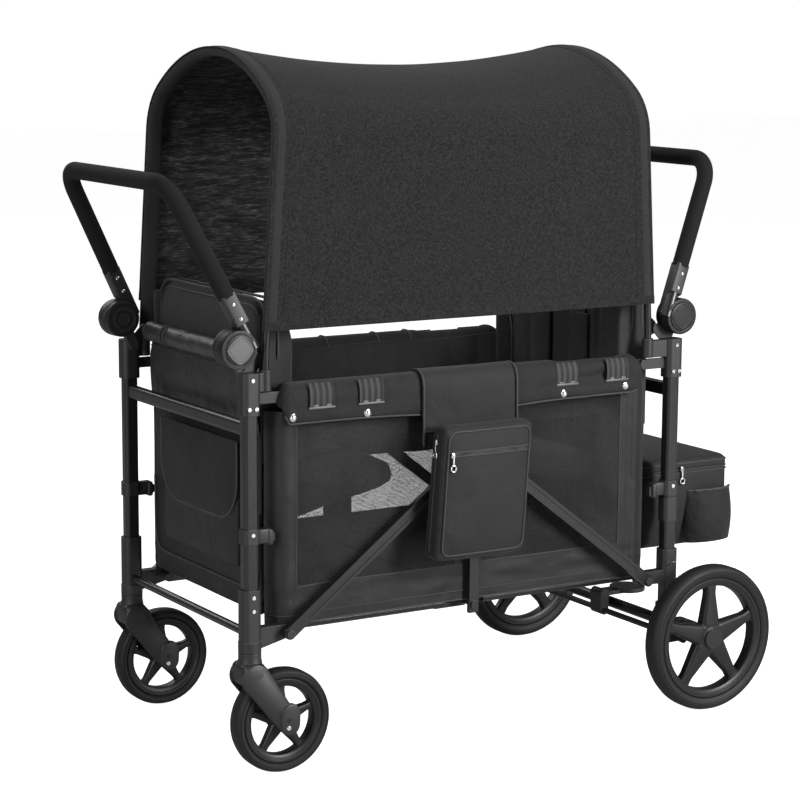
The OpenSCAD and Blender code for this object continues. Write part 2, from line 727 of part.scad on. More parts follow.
// Brake: cross rod, pedal that reaches back over the axle, and a pawl by each wheel
pedal_lift_share = 1.5;
pedal_z = rear_r + axle_tube_r + pedal_lift_share * pedal_t;
pawl_angle = 75;
pawl_in = knuckle_out + move_gap;
module brake_pedal() color(plastic) {
    across([brake_x, brake_z], brake_rod_r, -(pawl_in + pawl_t), pawl_in + pawl_t);
    plate(-pedal_w / 4, pedal_w / 4) {
        bar2d([brake_x, brake_z], [brake_x, pedal_z], brake_rod_r + pedal_t / 2);
        bar2d([brake_x, pedal_z], [brake_x + pedal_len - pedal_w / 2, pedal_z], pedal_t / 2);
    }
    translate([brake_x + pedal_len - pedal_w / 2, 0, pedal_z - pedal_t / 4])
        cylinder(r = pedal_w / 2, h = pedal_t);
    both() plate(pawl_in, pawl_in + pawl_t) bar2d([brake_x, brake_z],
        [brake_x, brake_z] + pawl_len * [cos(pawl_angle), sin(pawl_angle)], brake_rod_r + pawl_t / 4);
}

// Push bar: a U bent in one leaning plane, with its moving discs
bar_top_half = bar_y - bar_len * tan(bar_converge);
bend_turn = 90 - bar_converge;
bend_cut = bar_bend_r * tan(bend_turn / 2);
arm_full = bar_len / cos(bar_converge);
module bar_path(r, from) {
    both() translate([0, -bar_y, 0]) rotate([-bar_converge, 0, 0]) {
        translate([0, 0, from]) cylinder(r = r, h = arm_full - bend_cut + bend_lap - from);
        translate([0, bar_bend_r, arm_full - bend_cut]) rotate([90, 0, -90])
            rotate_extrude(angle = bend_turn) translate([bar_bend_r, 0]) circle(r = r + bend_swell);
    }
    top_half = bar_top_half - bend_cut + bend_lap;
    translate([0, top_half, bar_len]) rotate([90, 0, 0]) cylinder(r = r, h = 2 * top_half);
}
// The side is 1 for the rear bar and -1 for the front bar
module bar_place(x, side) translate([x - side * arm_inset, 0, disc_z])
    rotate([0, side > 0 ? rear_bar_lean : -front_bar_lean, 0]) children();
module disc_rooms(x) {
    across([x, disc_z], button_r + run_gap, disc_out - button_t - button_travel + move_gap, disc_out + over);
    across([x, disc_z], disc_pin_r + run_gap, disc_in - over, disc_in + disc_pin_len + move_gap);
}
module push_bar(x, side) color(metal) difference() {
    union() {
        both() across([x, disc_z], disc_r, disc_in, disc_out);
        bar_place(x, side) bar_path(bar_r, 0);
    }
    both() disc_rooms(x);
}
module grip(x, side) color(foam) bar_place(x, side) difference() {
    bar_path(grip_r, grip_start);
    bar_path(bar_r + seat_gap, 0);
}
button_out = disc_out + 4 * move_gap;
module button(x) color(plastic)
    across([x, disc_z], button_r, button_out - button_t, button_out);

// Top and floor rails: a tube with a flat ear at the leg pivot and another at the middle
module rail(side, lane, z, r, inner, outer, middle_outer) {
    ear_y = middle_outer ? outer : inner;
    difference() {
        union() {
            translate([side * ear_len, -lane, z]) rotate([0, side * 90, 0])
                cylinder(r = r, h = fold_half - 2 * ear_len);
            plate(inner, inner + ear_t)
                bar2d([side * (fold_half - ear_root_share * ear_len), z], [side * fold_half, z], r);
            plate(ear_y, ear_y + ear_t) bar2d([side * ear_root_share * ear_len, z], [0, z], r);
        }
        across([side * fold_half, z], pin_r + run_gap, inner - over, inner + ear_t + over);
        if (middle_outer) across([0, z], pin_r + open_gap, outer - over, outer + ear_t + over);
    }
}
module middle_pin(z, inner, pin_end) {
    across([0, z], pin_r, inner + ear_t / 2, pin_end);
    across([0, z], pin_head_r, pin_end - move_gap / 2, pin_end + pin_head_t);
}
module rear_top_rails() color(metal) both() {
    rail(1, rail_lane, top_rail_z, rail_r, ear_inner, ear_outer, false);
    across([0, top_rail_z], pin_r, ear_inner + ear_t / 2, ear_outer + ear_t + move_gap);
}
module front_top_rails() color(metal) both()
    rail(-1, rail_lane, top_rail_z, rail_r, ear_inner, ear_outer, true);
module rear_floor_rails() color(metal) both() {
    rail(1, floor_lane, floor_z, floor_rail_r, floor_ear_inner, floor_ear_outer, false);
    middle_pin(floor_z, floor_ear_inner, post_out + move_gap);
}
module front_floor_rails() color(metal) both()
    rail(-1, floor_lane, floor_z, floor_rail_r, floor_ear_inner, floor_ear_outer, true);

// Braces: grooved bars that lap at the hubs
module brace(side) {
    cut_in = side > 0 ? brace_in + brace_t / 2 - move_gap / 2 : brace_in - over;
    cut_out = side > 0 ? brace_out + over : brace_in + brace_t / 2 + move_gap / 2;
    dir = [-side * cos(brace_angle), sin(brace_angle)];
    foot = [side * fold_half, floor_z];
    difference() {
        plate(brace_in, brace_out) bar2d(foot, foot + brace_len * dir, brace_w / 2);
        plate(cut_in, cut_out) translate(foot) rotate(atan2(dir[1], dir[0]))
            translate([brace_len - brace_lap, -brace_w]) square([2 * brace_lap, 2 * brace_w]);
        across(foot, pin_r + run_gap, brace_in - over, brace_out + over);
        plate(brace_out - brace_groove_d, brace_out + over)
            bar2d(foot + 2 * brace_w * dir, foot + (brace_len - 2 * brace_lap) * dir, brace_groove_w / 2);
    }
}
module rear_braces() color(metal) both() brace(1);
module front_braces() color(metal) both() {
    brace(-1);
    across([0, hub_z], pin_head_r, brace_out - over, brace_out + pin_head_t);
}

// Centre posts and the hub sleeves that slide on them
module post() difference() {
    translate([-post_w / 2, -post_out, floor_z - post_down]) cube([post_w, post_t, post_down + post_up]);
    across([0, floor_z], pin_r + run_gap, post_in - over, post_out + over);
}
module centre_posts() color(metal) both() post();
module hub() difference() {
    translate([-post_w / 2 - 4 * hub_wall, -hub_out, hub_z - hub_h / 2])
        cube([post_w + 8 * hub_wall, hub_out - hub_in, hub_h]);
    translate([-post_w / 2 - seat_gap, -post_out - seat_gap, hub_z - hub_h])
        cube([post_w + 2 * seat_gap, post_t + 2 * seat_gap, 2 * hub_h]);
}
module brace_hubs() color(plastic) both() hub();

// Canopy hoops: a short upright foot in the socket, then a leaning arch
// The crown ends a little way inside the shoulder bends
crown_from = hoop_turn - asin(bend_lap / hoop_top_r);
module hoop(x, side) color(metal) {
    both() translate([x, -leg_y, pole_foot_z + seat_gap])
        cylinder(r = pole_r, h = pole_kink_z - pole_foot_z - seat_gap);
    translate([x, 0, pole_kink_z]) rotate([0, -side * hoop_lean, 0]) {
        both() translate([0, -leg_y, 0]) {
            sphere(r = pole_r + bend_swell);
            cylinder(r = pole_r, h = hoop_len + bend_lap);
        }
        both() translate([0, -hoop_bend_y, hoop_len]) rotate([90, 0, -90])
            rotate_extrude(angle = hoop_turn) translate([hoop_bend_r, 0]) circle(r = pole_r + bend_swell);
        translate([0, 0, hoop_len + hoop_rise - hoop_top_r]) rotate([90, 0, 90]) rotate([0, 0, crown_from])
            rotate_extrude(angle = 180 - 2 * crown_from) translate([hoop_top_r, 0]) circle(r = pole_r);
    }
}
module front_hoop() hoop(front_pole_x, -1);
module rear_hoop() hoop(rear_pole_x, 1);

// Closed skin between an upper and a lower grid of points, n steps by m steps
function grid_faces(n, m) = let (
    a = function (i, j) i * (m + 1) + j,
    k = (n + 1) * (m + 1)
) concat(
    [for (i = [0:n - 1], j = [0:m - 1]) each [
        [a(i, j), a(i, j + 1), a(i + 1, j + 1)], [a(i, j), a(i + 1, j + 1), a(i + 1, j)],
        [k + a(i, j), k + a(i + 1, j), k + a(i + 1, j + 1)],
        [k + a(i, j), k + a(i + 1, j + 1), k + a(i, j + 1)]
    ]],
    [for (i = [0:n - 1]) each [
        [k + a(i, 0), a(i, 0), a(i + 1, 0)], [k + a(i, 0), a(i + 1, 0), k + a(i + 1, 0)],
        [k + a(i, m), a(i + 1, m), a(i, m)], [k + a(i, m), k + a(i + 1, m), a(i + 1, m)]
    ]],
    [for (j = [0:m - 1]) each [
        [k + a(0, j), a(0, j + 1), a(0, j)], [k + a(0, j), k + a(0, j + 1), a(0, j + 1)],
        [k + a(n, j), a(n, j), a(n, j + 1)], [k + a(n, j), a(n, j + 1), k + a(n, j + 1)]
    ]]
);

// Canopy cloth: straight sides and an arched top that sags between the hoops
function arch_point(t, off) = t < hoop_turn || t > 180 - hoop_turn
    ? [sign(cos(t)) * hoop_bend_y + (hoop_bend_r + off) * cos(t), (hoop_bend_r + off) * sin(t)]
    : [(hoop_top_r + off) * cos(t), hoop_rise - hoop_top_r + (hoop_top_r + off) * sin(t)];
function canopy_angle(j) = j <= canopy_steps[1] ? 0
    : j >= canopy_steps[1] + canopy_steps[2] ? 180
    : 180 * (j - canopy_steps[1]) / canopy_steps[2];
function canopy_drop(j) = j < canopy_steps[1] ? 1 - j / canopy_steps[1]
    : j > canopy_steps[1] + canopy_steps[2] ? (j - canopy_steps[1] - canopy_steps[2]) / canopy_steps[1] : 0;
// The cloth lies flat over each pole, and sags only between them
function canopy_share(i, edge) = i == 0 ? 0 : i == canopy_steps[0] ? 1
    : edge + (1 - 2 * edge) * (i - 1) / (canopy_steps[0] - 2);
function canopy_point(i, j, off) = let (
    edge = (canopy_over + pole_r) / (rear_pole_x - front_pole_x),
    u = canopy_share(i, edge),
    w = max(0, min(1, (u - edge) / (1 - 2 * edge))),
    t = canopy_angle(j),
    arch = arch_point(t, off),
    sag = canopy_sag * 4 * w * (1 - w) * pow(sin(t), 2),
    z = hoop_spring_z + arch[1] - sag - canopy_drop(j) * (hoop_spring_z - canopy_low_z),
    lean_in = (z - pole_kink_z) * tan(hoop_lean),
    x_front = front_pole_x - canopy_over + lean_in,
    x_rear = rear_pole_x + canopy_over - lean_in
) [x_front + u * (x_rear - x_front), -arch[0], z];
canopy_m = 2 * canopy_steps[1] + canopy_steps[2];
module canopy_sheet() color(cloth) polyhedron(
    points = concat(
        [for (i = [0:canopy_steps[0]], j = [0:canopy_m]) canopy_point(i, j, canopy_off + canopy_t)],
        [for (i = [0:canopy_steps[0]], j = [0:canopy_m]) canopy_point(i, j, canopy_off)]
    ),
    faces = grid_faces(canopy_steps[0], canopy_m)
);

// Padded cushion lying in XY, crowned upwards, with sides drawn in and sewn channels along Y
draw_share = 0.025;
function pad_point(i, j, w, h, t, crown, channels, upper) = let (
    u = 2 * i / pad_steps[0] - 1,
    v = 2 * j / pad_steps[1] - 1,
    groove = pow(abs(cos(90 * channels * (u + 1))), 10),
    swell = crown * (1 - pow(u, 4)) * (1 - pow(v, 4)) - channel_d * groove * (1 - pow(v, 8))
) [
    u * w / 2 * (1 - draw_share * (1 - v * v)),
    v * h / 2 * (1 - draw_share * (1 - u * u)),
    upper ? t / 2 + max(swell, -t / 3) : -t / 2
];
module pad(w, h, t, crown, channels) polyhedron(
    points = concat(
        [for (i = [0:pad_steps[0]], j = [0:pad_steps[1]]) pad_point(i, j, w, h, t, crown, channels, true)],
        [for (i = [0:pad_steps[0]], j = [0:pad_steps[1]]) pad_point(i, j, w, h, t, crown, channels, false)]
    ),
    faces = grid_faces(pad_steps[0], pad_steps[1])
);
back_channels = 5;
cushion_channels = 3;
module seat_back(side) color(cloth) translate([side * back_x, 0, (back_low_z + back_top_z) / 2])
    rotate([90, 0, -side * 90])
    pad(2 * seat_half_y, back_top_z - back_low_z, back_t, back_crown, back_channels);
cushion_back_x = back_x - back_t / 2 - back_crown - cushion_t * sin(cushion_tilt)
    + draw_share * cushion_len / 2 - 2 * seat_gap;
module seat_cushion(side) color(cloth) translate([side * cushion_back_x, 0, cushion_z])
    rotate([0, side * cushion_tilt, 0]) translate([-side * cushion_len / 2, 0, cushion_t / 2])
    rotate(90) pad(2 * seat_half_y, cushion_len, cushion_t, cushion_crown, cushion_channels);
module rear_seat_back() seat_back(1);
module front_seat_back() seat_back(-1);
module rear_seat_cushion() seat_cushion(1);
module front_seat_cushion() seat_cushion(-1);

// Tub panels, padded rolls and floor boards
end_half_y = sleeve_in - seat_gap;
module end_panel(side) color(cloth) {
    translate([side * end_x - end_t / 2, -end_half_y, end_bottom_z])
        cube([end_t, 2 * end_half_y, end_roll_z - end_bottom_z]);
    across([side * end_roll_x, end_roll_z], end_roll_r, -end_half_y, end_half_y);
}
module rear_end_panel() end_panel(1);
module front_end_panel() end_panel(-1);
module side_panel() color(cloth) translate([-side_front, -side_out, side_bottom_z])
    cube([side_front + side_rear, side_t, side_top_z - side_bottom_z]);
module bumper() color(cloth) translate([-bumper_reach, -rail_lane, 0]) rotate([90, 0, 90])
    linear_extrude(2 * bumper_reach) difference() {
    union() {
        translate([0, top_rail_z]) circle(r = bumper_r);
        bar2d([flap_t / 2 - bumper_r, top_rail_z], [flap_t / 2 - bumper_r, flap_z + flap_t / 2], flap_t / 2);
    }
    translate([0, top_rail_z]) circle(r = rail_room_r);
}
module floor_board(side) color(plastic) {
    length = fold_half - board_short - board_split / 2;
    translate([side > 0 ? board_split / 2 : -board_split / 2 - length, -board_half_y, board_z])
        cube([length, 2 * board_half_y, board_t]);
}
module rear_floor_board() floor_board(1);
module front_floor_board() floor_board(-1);

// Pocket bag with its hanger, and the box bag behind the rear legs
hanger_in = rail_lane + bumper_r + move_gap;
hanger_low_z = pocket_z + pocket_h - pocket_r;
module pocket_bag() color(cloth) translate([-pocket_ahead, 0, 0]) {
    plate(pocket_in, pocket_in + pocket_t) translate([0, pocket_z + pocket_h / 2])
        rounded2d(pocket_w, pocket_h, pocket_r);
    plate(hanger_in, hanger_in + hanger_t) translate([-hanger_w / 2, hanger_low_z])
        square([hanger_w, hanger_top_z - hanger_low_z]);
    plate(hanger_in, pocket_in + pocket_r) translate([-hanger_w / 2, hanger_low_z - hanger_t])
        square([hanger_w, 2 * hanger_t]);
}
module rear_bag() color(cloth) translate([end_x + end_t / 2 + seat_gap, rear_bag_half_y, rear_bag_z])
    rotate([90, 0, 0]) linear_extrude(2 * rear_bag_half_y) translate([rear_bag_len / 2, rear_bag_h / 2])
    rounded2d(rear_bag_len, rear_bag_h, rear_bag_r);

placed() rear_legs();
placed() rear_top_brackets();
placed() rear_cross_tube();
placed() rear_lower_brackets();
placed() rear_clips();
placed() rear_axle();
placed() rear_knuckles();
placed() rear_rivets();
placed() rear_end_panel();
placed() side_panel();  // side_panel_near
placed() far() side_panel();  // side_panel_far
placed() bumper();  // bumper_near
placed() far() bumper();  // bumper_far
placed() pocket_bag();
placed() rear_bag();
placed() rear_seat_back();
placed() rear_seat_cushion();
placed() rear_floor_rails();
placed() rear_floor_board();
placed() front_floor_rails();
placed() front_floor_board();
placed() front_legs();
placed() front_top_brackets();
placed() front_cross_tube();
placed() front_low_bar();
placed() front_sockets();
placed() front_clips();
placed() front_rivets();
placed() front_end_panel();
placed() front_seat_back();
placed() front_seat_cushion();
placed() fork();  // fork_near
placed() far() fork();  // fork_far
placed() front_rim_piece();  // front_rim_near
placed() front_tyre_piece();  // front_tyre_near
placed() far() front_rim_piece();  // front_rim_far
placed() far() front_tyre_piece();  // front_tyre_far
placed() rear_rim_piece();  // rear_rim_near
placed() rear_tyre_piece();  // rear_tyre_near
placed() far() rear_rim_piece();  // rear_rim_far
placed() far() rear_tyre_piece();  // rear_tyre_far
placed() push_bar(front_disc_x, -1);  // front_push_bar
placed() grip(front_disc_x, -1);  // front_grip
placed() push_bar(rear_disc_x, 1);  // rear_push_bar
placed() grip(rear_disc_x, 1);  // rear_grip
placed() button(front_disc_x);  // front_button_near
placed() far() button(front_disc_x);  // front_button_far
placed() button(rear_disc_x);  // rear_button_near
placed() far() button(rear_disc_x);  // rear_button_far
placed() brake_pedal();
placed() centre_posts();
placed() brace_hubs();
placed() rear_braces();
placed() front_braces();
placed() rear_top_rails();
placed() front_top_rails();
placed() front_hoop();
placed() rear_hoop();
placed() canopy_sheet();
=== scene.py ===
"""Looks of the folding stroller wagon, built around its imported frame: cloth, padding, bags, wheels, trims."""

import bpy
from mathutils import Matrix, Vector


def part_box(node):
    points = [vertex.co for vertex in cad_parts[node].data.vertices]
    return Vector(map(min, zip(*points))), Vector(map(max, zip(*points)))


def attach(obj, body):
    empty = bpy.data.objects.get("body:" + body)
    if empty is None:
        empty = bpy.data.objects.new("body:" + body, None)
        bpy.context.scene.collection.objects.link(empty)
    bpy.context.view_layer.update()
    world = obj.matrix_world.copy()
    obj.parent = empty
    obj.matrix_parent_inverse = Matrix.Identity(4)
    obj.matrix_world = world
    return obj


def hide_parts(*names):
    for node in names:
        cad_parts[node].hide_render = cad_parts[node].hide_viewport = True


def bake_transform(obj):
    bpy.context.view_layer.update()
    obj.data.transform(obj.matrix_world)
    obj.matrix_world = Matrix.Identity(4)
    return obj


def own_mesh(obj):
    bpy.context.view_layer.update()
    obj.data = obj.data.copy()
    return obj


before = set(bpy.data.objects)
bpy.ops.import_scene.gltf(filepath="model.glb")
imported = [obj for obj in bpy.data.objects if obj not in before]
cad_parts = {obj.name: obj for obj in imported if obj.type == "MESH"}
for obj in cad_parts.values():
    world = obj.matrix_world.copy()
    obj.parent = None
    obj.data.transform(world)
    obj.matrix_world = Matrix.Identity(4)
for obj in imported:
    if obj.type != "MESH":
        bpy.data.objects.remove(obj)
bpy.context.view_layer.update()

from math import acos, atan2, copysign, cos, exp, hypot, pi, radians, sin, sqrt, tan

import bpy
from mathutils import Matrix, Vector, noise

MM = 0.001
MIDDLE = sum(corner.x for legs in ("front_legs", "rear_legs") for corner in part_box(legs)) / 4
SIDES = ((-1, "near"), (1, "far"))
ENDS = ((-1, "front"), (1, "rear"))

# Places on the frame that the pieces follow, in millimetres about the wagon's middle
LEG_X, LEG_Y = 465, 248
RAIL_Y, RAIL_Z = 244.1, 686
SIDE_Y, PANEL_X = 249, 424
FRONT_POLE, REAR_POLE = -432, 406
KINK_Z, SPRING_Z = 762.25, 1135
HOOP_LEAN = tan(radians(3.4))
HOOP_BEND, HOOP_RISE = 95, 149.66
HOOP_BEND_Y = LEG_Y - HOOP_BEND
HOOP_TOP = (HOOP_BEND_Y ** 2 + HOOP_RISE ** 2 - HOOP_BEND ** 2) / 2 / (HOOP_RISE - HOOP_BEND)
HOOP_TURN = atan2(HOOP_TOP - HOOP_RISE, HOOP_BEND_Y)
CANOPY_LOW, CANOPY_OFF, CANOPY_SAG = 805, 9.6, 36
DISC_Z, FRONT_DISC, REAR_DISC = 776, -488.5, 479
DISC_IN, DISC_BACK = 234, 220.6
FRONT_AXLE_X, FRONT_AXLE_Z = -404, 96


def at(x, y, z):
    """A point of the shared frame in metres, from millimetres about the wagon's middle."""
    return Vector((MIDDLE + x * MM, y * MM, z * MM))


def spot_of(point):
    """The opposite: a point's millimetres about the wagon's middle."""
    return (point.x - MIDDLE) / MM, point.y / MM, point.z / MM


def by_rail(x, out, up, side):
    """A point out from a top rail and up from it."""
    return at(x, side * (RAIL_Y + out), RAIL_Z + up)


def ramp(a, b, x):
    """Smooth step from 0 at a to 1 at b."""
    t = min(max((x - a) / (b - a), 0.0), 1.0)
    return t * t * (3 - 2 * t)


def hump(x, centre, width):
    return exp(-((x - centre) / width) ** 2)


def dome(share):
    return max(0, 1 - share * share)


def uneven(a, b, c):
    return noise.noise(Vector((a, b, c)))


def spread(low, high, count):
    return [low + (high - low) * i / count for i in range(count + 1)]


def around(count):
    """The angles of one full turn."""
    return spread(0, 2 * pi, count)[:-1]


# Modelling helpers

def clear():
    if bpy.context.object and bpy.context.object.mode != "OBJECT":
        bpy.ops.object.mode_set(mode="OBJECT")
    bpy.ops.object.select_all(action="DESELECT")


def take(piece):
    clear()
    piece.select_set(True)
    bpy.context.view_layer.objects.active = piece
    return piece


def edit(piece, select="DESELECT"):
    take(piece)
    bpy.ops.object.mode_set(mode="EDIT")
    bpy.ops.mesh.select_mode(type="FACE")
    bpy.ops.mesh.select_all(action=select)


def leave():
    bpy.ops.object.mode_set(mode="OBJECT")


def modify(piece, kind, **settings):
    take(piece)
    change = piece.modifiers.new(kind.title(), kind)
    for name, value in settings.items():
        setattr(change, name, value)
    bpy.ops.object.modifier_apply(modifier=change.name)
    return piece


def tidy(piece, fill=False):
    """Merges doubled points, closes open ends and turns the faces outwards."""
    edit(piece, "SELECT")
    bpy.ops.mesh.remove_doubles(threshold=2e-6)
    if fill:
        bpy.ops.mesh.select_mode(type="EDGE")
        bpy.ops.mesh.select_all(action="DESELECT")
        bpy.ops.mesh.select_non_manifold()
        bpy.ops.mesh.fill_holes(sides=0)
        bpy.ops.mesh.select_all(action="SELECT")
    bpy.ops.mesh.normals_make_consistent(inside=False)
    leave()
    return piece


def shade(piece, angle=40):
    take(piece)
    bpy.ops.object.shade_smooth_by_angle(angle=radians(angle))
    return piece


def soften(piece, levels=1):
    return modify(piece, "SUBSURF", levels=levels, render_levels=levels)


def thicken(piece, wall, **settings):
    """Gives a sheet its thickness, half on each side."""
    return tidy(modify(piece, "SOLIDIFY", thickness=wall * MM, offset=0.0, **settings))


def grid(name, us, vs, place, wall=0.0):
    """A sheet laid over two lists of values, each point put in place by a function."""
    clear()
    bpy.ops.mesh.primitive_grid_add(x_subdivisions=len(us) - 1, y_subdivisions=len(vs) - 1, size=2)
    piece = bpy.context.object
    piece.name = name
    for i, point in enumerate(piece.data.vertices):
        point.co = place(us[i % len(us)], vs[i // len(us)])
    piece.data.update()
    return thicken(piece, wall, use_even_offset=True) if wall else piece


def loft(name, rings):
    """A closed skin over rings of points, with both ends filled."""
    count = len(rings[0])
    skin = grid(name, list(range(len(rings))), list(range(count + 1)), lambda i, j: rings[i][j % count])
    return tidy(skin, fill=True)


def placed(name, data):
    piece = bpy.data.objects.new(name, data)
    bpy.context.collection.objects.link(piece)
    return piece


def rod(name, points, radius, closed=False, rounds=3):
    """A round line of piping, wire or stitching along points."""
    line = bpy.data.curves.new(name, "CURVE")
    line.dimensions = "3D"
    path = line.splines.new("POLY")
    path.points.add(len(points) - 1)
    for spot, point in zip(path.points, points):
        spot.co = (*point, 1)
    path.use_cyclic_u = closed
    line.bevel_depth = radius * MM
    line.bevel_resolution = rounds
    line.use_fill_caps = True
    take(placed(name, line))
    bpy.ops.object.convert(target="MESH")
    return shade(bpy.context.object, 60)


def rounded_path(points, radius, steps=5):
    """The points joined by straight runs, with each inner corner rounded."""
    path = [points[0]]
    for before, corner, after in zip(points, points[1:], points[2:]):
        a = corner + (before - corner).normalized() * radius * MM
        b = corner + (after - corner).normalized() * radius * MM
        for t in spread(0, 1, steps):
            path.append(a * (1 - t) ** 2 + corner * 2 * t * (1 - t) + b * t ** 2)
    return path + [points[-1]]


def turned(name, profile, centre, axis=(0, 1, 0), steps=64):
    """A round piece spun from (radius, along) points about an axis."""
    way = Vector(axis).normalized()
    out = Vector((0, 0, 1)) if abs(way.z) < 0.9 else Vector((1, 0, 0))
    out = (out - way * out.dot(way)).normalized()
    spots = [centre + out * r * MM + way * a * MM for r, a in profile]
    mesh = bpy.data.meshes.new(name)
    mesh.from_pydata(spots, [(i, i + 1) for i in range(len(spots) - 1)], [])
    piece = placed(name, mesh)
    edit(piece)
    bpy.ops.mesh.select_mode(type="EDGE")
    bpy.ops.mesh.select_all(action="SELECT")
    bpy.ops.mesh.spin(steps=steps, angle=2 * pi, center=centre, axis=way)
    leave()
    return shade(tidy(piece), 35)


def block(name, low, high, edge, rounds=3):
    """A box between two corners with rounded edges."""
    clear()
    bpy.ops.mesh.primitive_cube_add(size=1, location=(low + high) / 2)
    piece = bpy.context.object
    piece.name = name
    piece.scale = [abs(c) for c in high - low]
    bpy.ops.object.transform_apply(location=True, rotation=True, scale=True)
    return modify(piece, "BEVEL", width=edge * MM, segments=rounds)


def soft_box(name, low, high, edge, cuts, shape=None):
    """A rounded box cut into many faces and then pulled into shape."""
    piece = block(name, low, high, edge, 4)
    edit(piece, "SELECT")
    bpy.ops.mesh.subdivide(number_cuts=cuts)
    leave()
    if shape:
        for point in piece.data.vertices:
            point.co = shape(point.co.copy())
    return shade(piece, 60)


def joined(name, pieces):
    clear()
    for piece in pieces:
        piece.select_set(True)
    bpy.context.view_layer.objects.active = pieces[0]
    bpy.ops.object.join()
    pieces[0].name = name
    return pieces[0]


def copied(piece, name, change):
    """A copy with its own mesh, moved by a matrix."""
    twin = placed(name, piece.data.copy())
    twin.data.transform(change)
    if change.determinant() < 0:
        twin.data.flip_normals()
    return twin


END_TO_END = Matrix.Translation((2 * MIDDLE, 0, 0)) @ Matrix.Scale(-1, 4, (1, 0, 0))


def turn_about(centre, axis, degrees):
    turn = Matrix.Rotation(radians(degrees), 4, axis)
    return Matrix.Translation(centre) @ turn @ Matrix.Translation(-centre)


def dress(piece, material, body="rear_frame", *nodes, slot=None, fill=None):
    """Gives a finished piece its material and body, and hides the nodes it stands for; its slot and padding are
    not used.
    """
    finishes = material if isinstance(material, list) else [material]
    piece.data.materials.clear()
    for finish in finishes:
        piece.data.materials.append(finish)
    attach(piece, body)
    if nodes:
        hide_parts(*nodes)
    return piece


def gathers(piece):
    """Gives the piece a mesh of its own."""
    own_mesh(piece)


# Shared shader effects

def feed(tree, socket, value):
    """Links a socket to another one, or gives it a plain value."""
    if isinstance(value, bpy.types.NodeSocket):
        tree.links.new(value, socket)
    else:
        socket.default_value = value


def node(tree, kind, *given, settings=None, **named):
    """A new shader node with its settings, and its inputs fed in order or by name."""
    made = tree.nodes.new("ShaderNode" + kind)
    for label, value in (settings or {}).items():
        setattr(made, label, value)
    for socket, value in zip(made.inputs, given):
        feed(tree, socket, value)
    for label, value in named.items():
        feed(tree, made.inputs[label], value)
    return made


def maths(tree, operation, *values):
    return node(tree, "Math", *values, settings={"operation": operation}).outputs[0]


def where(tree):
    return node(tree, "TexCoord").outputs["Object"]


def speckle(tree, scale, detail=2.0, distortion=0.0, vector=None):
    vector = where(tree) if vector is None else vector
    made = node(tree, "TexNoise", Vector=vector, Scale=scale, Detail=detail, Distortion=distortion)
    return made.outputs["Fac"]


def effect(tree, shared, **values):
    """The outputs of a shared effect placed in a material."""
    return node(tree, "Group", settings={"node_tree": shared}, **values).outputs


def group(name, inputs, outputs):
    tree = bpy.data.node_groups.new(name, "ShaderNodeTree")
    for label, default in inputs.items():
        socket = tree.interface.new_socket(name=label, in_out="INPUT", socket_type="NodeSocketFloat")
        socket.default_value = default
    for label in outputs:
        kind = "NodeSocketVector" if label == "Normal" else "NodeSocketFloat"
        tree.interface.new_socket(name=label, in_out="OUTPUT", socket_type=kind)
    return tree, tree.nodes.new("NodeGroupInput").outputs, tree.nodes.new("NodeGroupOutput").inputs


def woven_group():
    """Crossing threads that show on faces of any direction, with a few lighter flecks."""
    tree, given, out = group("crossing_threads", {"Thread": 0.0012, "Fleck": 0.25}, ["Height", "Shade"])
    x, y, z = node(tree, "SeparateXYZ", where(tree)).outputs
    turns = maths(tree, "DIVIDE", 2 * pi, given["Thread"])
    warp = maths(tree, "MULTIPLY_ADD", y, 0.37, x)
    weft = maths(tree, "MULTIPLY_ADD", y, 0.61, z)
    over, under = (maths(tree, "SINE", maths(tree, "MULTIPLY", line, turns)) for line in (warp, weft))
    height = maths(tree, "MULTIPLY_ADD", maths(tree, "MULTIPLY", over, under), 0.5, 0.5)
    fleck = maths(tree, "MULTIPLY", maths(tree, "SUBTRACT", speckle(tree, 280.0, 4.0), 0.5), given["Fleck"])
    feed(tree, out["Height"], height)
    feed(tree, out["Shade"], maths(tree, "ADD", maths(tree, "MULTIPLY_ADD", height, 0.16, 0.92), fleck))
    return tree


def crease_group():
    """Soft hollows and ridges of worn cloth, with painted shade in the hollows and painted light on the ridges.
    """
    tree, given, out = group("creases_painted_shade", {"Scale": 9.0, "Contrast": 0.2}, ["Height", "Shade"])
    height = speckle(tree, given["Scale"], 3.0, 0.35)
    # Painted shade and light: the colour is darker where the crease height is low and lighter where it is high.
    swing = maths(tree, "MULTIPLY", maths(tree, "SUBTRACT", height, 0.5), given["Contrast"])
    feed(tree, out["Height"], height)
    feed(tree, out["Shade"], maths(tree, "ADD", swing, 1.0))
    return tree


def grain_group():
    """Fine moulded or sprayed grain with uneven gloss."""
    sockets = {"Scale": 900.0, "Gloss": 0.45, "Swing": 0.18}
    tree, given, out = group("fine_grain", sockets, ["Height", "Roughness"])
    feed(tree, out["Height"], speckle(tree, given["Scale"], 3.0))
    patch = maths(tree, "SUBTRACT", speckle(tree, 22.0, 5.0, 0.6), 0.5)
    feed(tree, out["Roughness"], maths(tree, "MULTIPLY_ADD", patch, given["Swing"], given["Gloss"]))
    return tree


